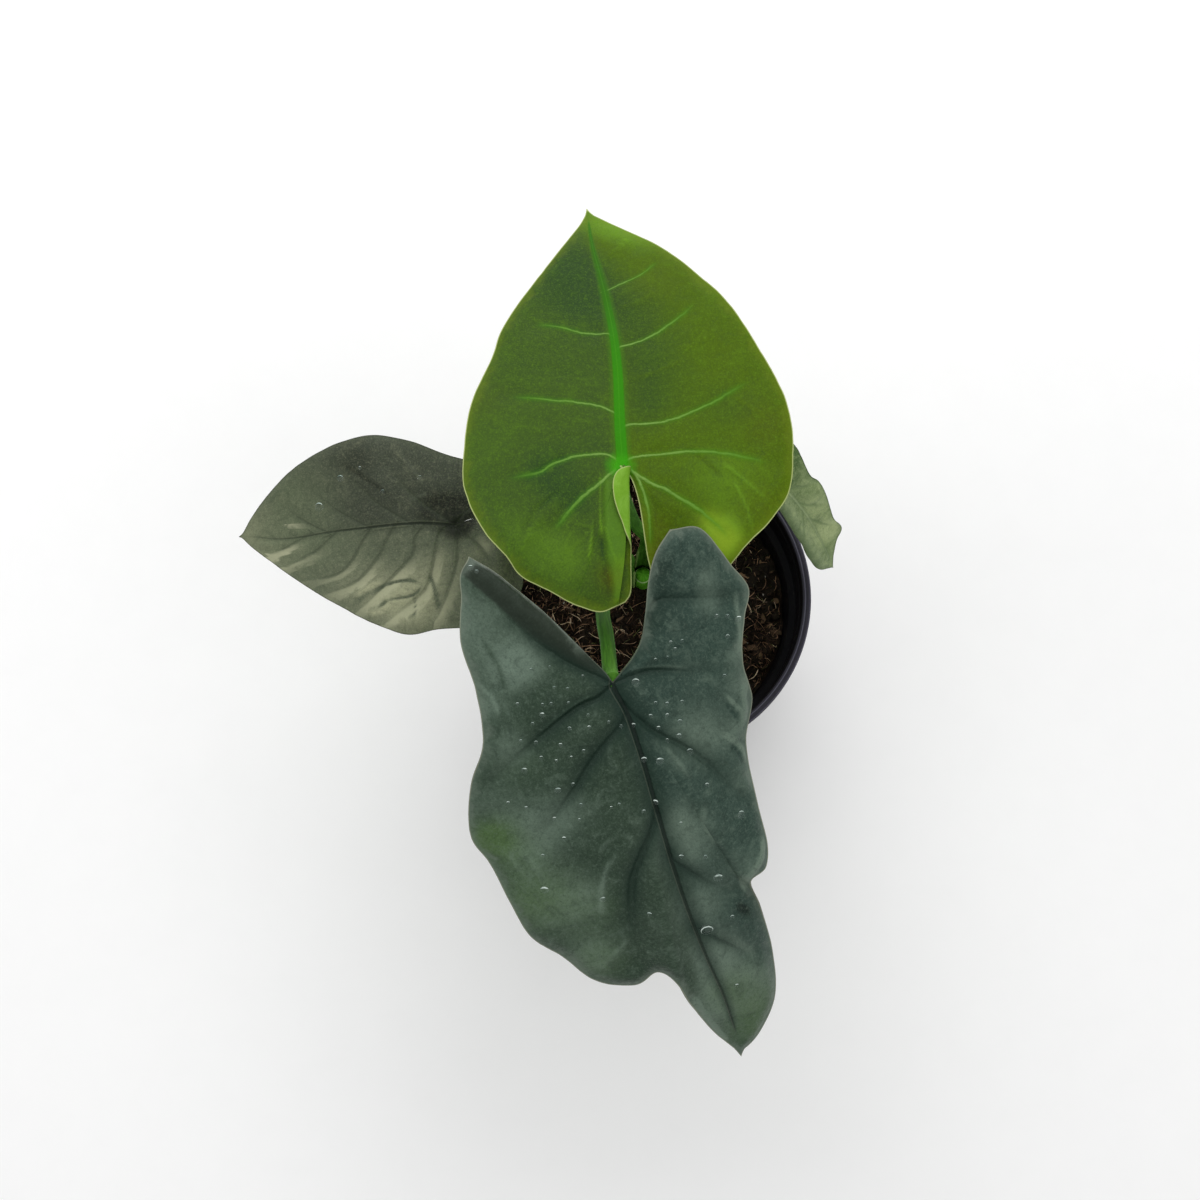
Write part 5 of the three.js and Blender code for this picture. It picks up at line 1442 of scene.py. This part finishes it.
def threads(name, seed, count, look, lengths, radii, curl, lift, steps, clump=0.0):
    """Loose curved threads of four sides that lie on the soil."""
    rng = np.random.default_rng(seed)
    corners, tint, grain = [], [], []
    for x, y in on_soil(rng, count, THREAD_REACH, clump):
        length = rng.uniform(*lengths)
        heading = rng.uniform(0, 2 * math.pi)
        turn = rng.normal(0, curl)
        path = [(x, y)]
        for _ in range(steps):
            turn += rng.normal(0, curl * 0.5)
            heading += turn * length / steps
            nx = path[-1][0] + math.cos(heading) * length / steps
            ny = path[-1][1] + math.sin(heading) * length / steps
            if math.hypot(nx, ny) > THREAD_REACH + 0.6:
                heading += math.pi / 2
                nx, ny = path[-1]
            path.append((nx, ny))
        path = np.array(path)
        u = np.linspace(0, 1, steps + 1)
        arch = lift * rng.random() ** 2.2
        z = soil_surface(path[:, 0], path[:, 1])
        z = np.convolve(np.pad(z, 1, mode="edge"), [0.25, 0.5, 0.25], "valid")
        z = z + 0.25 + arch * np.sin(math.pi * u) + rng.uniform(0, 0.5 * lift) * u ** 3
        line = np.column_stack([path, z])
        tangent = np.gradient(line, axis=0) + 1e-6
        right = unit(np.cross(tangent, (0, 0, 1)) + (1e-6, 0, 0))
        out = unit(np.cross(right, tangent))
        thick = rng.uniform(*radii) * (1 - 0.6 * u ** 3) * (0.35 + 0.65 * smooth(u * 8))
        angle = np.array([0.4, 1.97, 3.54, 5.11])[:, None]
        ring = np.cos(angle) * right[:, None] + np.sin(angle) * out[:, None]
        corners.append(line[:, None] + thick[:, None, None] * ring)
        own = rng.random()
        tint += [own] * 4 * (steps + 1)
        grain += [(own * 90, 0, share * length) for share in u for _ in range(4)]
    tube = [*ring_faces(steps + 1, 4), range(3, -1, -1), range(4 * steps, 4 * steps + 4)]
    values = {"tint": tint, "grain": np.array(grain)}
    make_piece(name, np.reshape(corners, (-1, 3)), repeated(tube, count), look, values, None)


def ball():
    """A unit ball of near-even triangles."""
    mesh = bmesh.new()
    bmesh.ops.create_icosphere(mesh, subdivisions=1, radius=1)
    points = np.array([tuple(v.co) for v in mesh.verts])
    faces = [[v.index for v in face.verts] for face in mesh.faces]
    mesh.free()
    return points, faces


def lumps(name, seed, count, look, sizes, squash, rough, sharp=None):
    """Loose lumps on the soil, each with its own size, stretch, turn and broken surface."""
    rng = np.random.default_rng(seed)
    ball_points, ball_faces = ball()
    points, tint = [], []
    for k, (x, y) in enumerate(on_soil(rng, count, LUMP_REACH)):
        size = sizes[0] + (sizes[1] - sizes[0]) * rng.random() ** 2.5
        stretch = np.array([rng.uniform(0.7, 1.4), rng.uniform(0.5, 1.0), rng.uniform(*squash)])
        bumps = 1 + rough * field.layered(ball_points + 13.0 * k, 0.9, 2)
        p = ball_points * bumps[:, None] * stretch * size
        turn, tilt = rng.uniform(0, 2 * math.pi), rng.normal(0, 0.35)
        c, s = math.cos(turn), math.sin(turn)
        spin = np.array([[c, -s, 0], [s, c, 0], [0, 0, 1]])
        c, s = math.cos(tilt), math.sin(tilt)
        lean = np.array([[1, 0, 0], [0, c, -s], [0, s, c]])
        z = float(soil_surface(np.array(x), np.array(y))) + size * stretch[2] * 0.5
        points.append(p @ (spin @ lean).T + (x, y, z))
        tint += [rng.random()] * len(ball_points)
    faces = repeated(ball_faces, count)
    make_piece(name, np.vstack(points), faces, look, {"tint": tint}, None, sharp)


threads("coir_fine", 21, 2400, "coir", (1.4, 6.5), (0.07, 0.21), 0.16, 1.5, 5, 0.8)
threads("coir_long", 22, 120, "coir", (6, 15), (0.1, 0.26), 0.14, 2.8, 12, 0.6)
threads("moss_bits", 23, 140, "moss", (2, 5), (0.1, 0.2), 0.3, 1.6, 5)
lumps("soil_crumbs", 31, 1500, "potting_mix", (0.3, 1.7), (0.5, 1), 0.9, 24)
lumps("bark_chips", 32, 420, "bark", (0.4, 2.0), (0.12, 0.3), 1.1, 20)
lumps("mineral_grains", 33, 60, "mineral", (0.2, 0.6), (0.6, 0.9), 0.3)


# Drops of water

DROP_RINGS = np.array([0.06, 0.35, 0.58, 0.72, 0.82, 0.89, 0.95, 1.0])
DROP_SIDES, BOW_STEPS = 20, 14
DROP_RADIUS = 0.72    # of a drop of size 1
# the bows and rings are painted highlights
LARGE = 2.8           # above this size a drop has a whole bright ring, and not only a bow on its far side


def drop_seat(leaf, a, b):
    """The place on the blade's upper side, and directions out of it, ahead and to the side; or None."""
    share = np.full(3, 0.25 if b > 0 else 0.75)
    at = blade_surface(leaf, np.array([a, a + 0.5, a]), np.array([b, b, b + 0.5]), share, np.full(3, 0.3))
    ahead, side = unit(at[1] - at[0]), unit(at[2] - at[0])
    up = unit(np.cross(ahead, side))
    spot, lean, _, _ = leaf["skin"].ray_cast(Vector(at[0] + up * 6), Vector(-up), 12)
    if spot is None:
        return None
    lean = np.array(lean)
    up = unit(lean * np.sign(lean @ up))
    ahead = unit(np.cross(side, up))
    return np.array(spot), up, ahead, np.cross(up, ahead)


def drops(name, leaf, spots, seed):
    """Drops with a flat top and a steep rim, and painted highlights on them, pale bows, as a second piece.
    """
    rng = np.random.default_rng(seed)
    points, glints = [], []
    around = 2 * math.pi * np.arange(DROP_SIDES)[:, None] / DROP_SIDES
    sweep = np.linspace(-1, 1, BOW_STEPS + 1)
    for a, b, size in spots:
        seat = drop_seat(leaf, a, b)
        if seat is None:
            continue
        spot, up, ahead, side = seat
        radius, stretch, tall = DROP_RADIUS * size, rng.uniform(0.9, 1.15), rng.uniform(0.42, 0.5)
        ring = ahead * np.cos(around) * stretch + side * np.sin(around)
        shares = DROP_RINGS[:, None, None]
        points.append(spot + up * (radius * tall * (1 - shares ** 3.4) - 0.03) + radius * shares * ring)
        # painted highlight: a pale bow on the far rim, a whole ring on a large drop
        large = size > LARGE
        turn = math.pi / 2 + (math.pi if large else rng.uniform(0.7, 1.15)) * sweep
        out = np.stack([np.cos(turn), np.sin(turn), 0 * turn], axis=1)
        out = unit(out - up * (out @ up)[:, None])
        taper = np.ones_like(sweep) if large else 1 - np.abs(sweep) ** 2.2
        wide, lift = (0.1, 0.35) if large else (0.25, 0.03)
        share = np.stack([np.full_like(sweep, 0.93), 0.93 - wide * (0.15 + 0.85 * taper)], axis=1)
        share = share[..., None]
        rise = radius * tall * (1 - share ** 3.4) + lift
        glints.append(spot + up * rise + radius * share * out[:, None])
    end = (len(DROP_RINGS) - 1) * DROP_SIDES
    body = ring_faces(len(DROP_RINGS), DROP_SIDES, flip=True)
    body += [range(DROP_SIDES), range(end + DROP_SIDES - 1, end - 1, -1)]
    bow = [[2 * k, 2 * k + 2, 2 * k + 3, 2 * k + 1] for k in range(BOW_STEPS)]
    body, bow = repeated(body, len(points)), repeated(bow, len(glints))
    make_piece(name, np.reshape(points, (-1, 3)), body, "water", sharp=70)
    make_piece(name.replace("drops", "drop_painted_highlight"), np.reshape(glints, (-1, 3)), bow, "painted_highlight_water")


drops("drops_front", LEAVES["leaf_front"], FRONT_DROPS, 41)
drops("drops_left", LEAVES["leaf_left"], LEFT_DROPS, 42)

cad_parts["corm_and_roots"].data.materials[0] = MATERIALS["corm_skin"]


# Floor, lights and camera, in metres

def floor_piece():
    n = Nodes("floor")
    paper = n.mix(n.noise(n.place(), 60.0, 4, 0.6), (0.93, 0.93, 0.93, 1), (0.96, 0.96, 0.96, 1))
    n.finish(Base_Color=paper, Roughness=0.8)
    mesh = bpy.data.meshes.new("floor")
    mesh.from_pydata([(-4, -4, 0), (4, -4, 0), (4, 4, 0), (-4, 4, 0)], [], [(0, 1, 2, 3)])
    mesh.materials.append(MATERIALS["floor"])
    floor = bpy.data.objects.new("floor", mesh)
    bpy.context.scene.collection.objects.link(floor)


floor_piece()


def area_light(name, place, target, size, power):
    data = bpy.data.lights.new(name, "AREA")
    data.shape, data.size, data.size_y, data.energy = "RECTANGLE", size[0], size[1], power
    light = bpy.data.objects.new(name, data)
    light.location = place
    light.rotation_euler = (Vector(target) - Vector(place)).to_track_quat("-Z", "Y").to_euler()
    bpy.context.scene.collection.objects.link(light)


area_light("key", (-0.1, 0.7, 1.35), (0, 0, 0.18), (1.2, 0.9), 9.6)
area_light("rear_strip", (0, 1.5, 0.62), (0, 0, 0.2), (2.4, 0.22), 10)
area_light("fill", (0.9, -0.5, 1.2), (0, 0, 0.15), (1.2, 1.2), 3)
area_light("side", (-1.1, -0.2, 0.9), (0, 0, 0.15), (0.9, 0.9), 2.4)

world = bpy.data.worlds.new("studio")
bpy.context.scene.world = world
world.use_nodes = True
world.node_tree.nodes["Background"].inputs["Color"].default_value = (1, 1, 1, 1)
world.node_tree.nodes["Background"].inputs["Strength"].default_value = 0.5
bpy.context.scene.view_settings.view_transform = "Standard"

camera_data = bpy.data.cameras.new("camera")
camera_data.lens, camera_data.sensor_width = 57, 36
camera_data.clip_start, camera_data.clip_end = 0.01, 20
camera = bpy.data.objects.new("camera", camera_data)
camera.location = (-0.01841, -0.14833, 0.79429)
camera.rotation_euler = (math.radians(12), 0, 0)
bpy.context.scene.collection.objects.link(camera)
bpy.context.scene.camera = camera
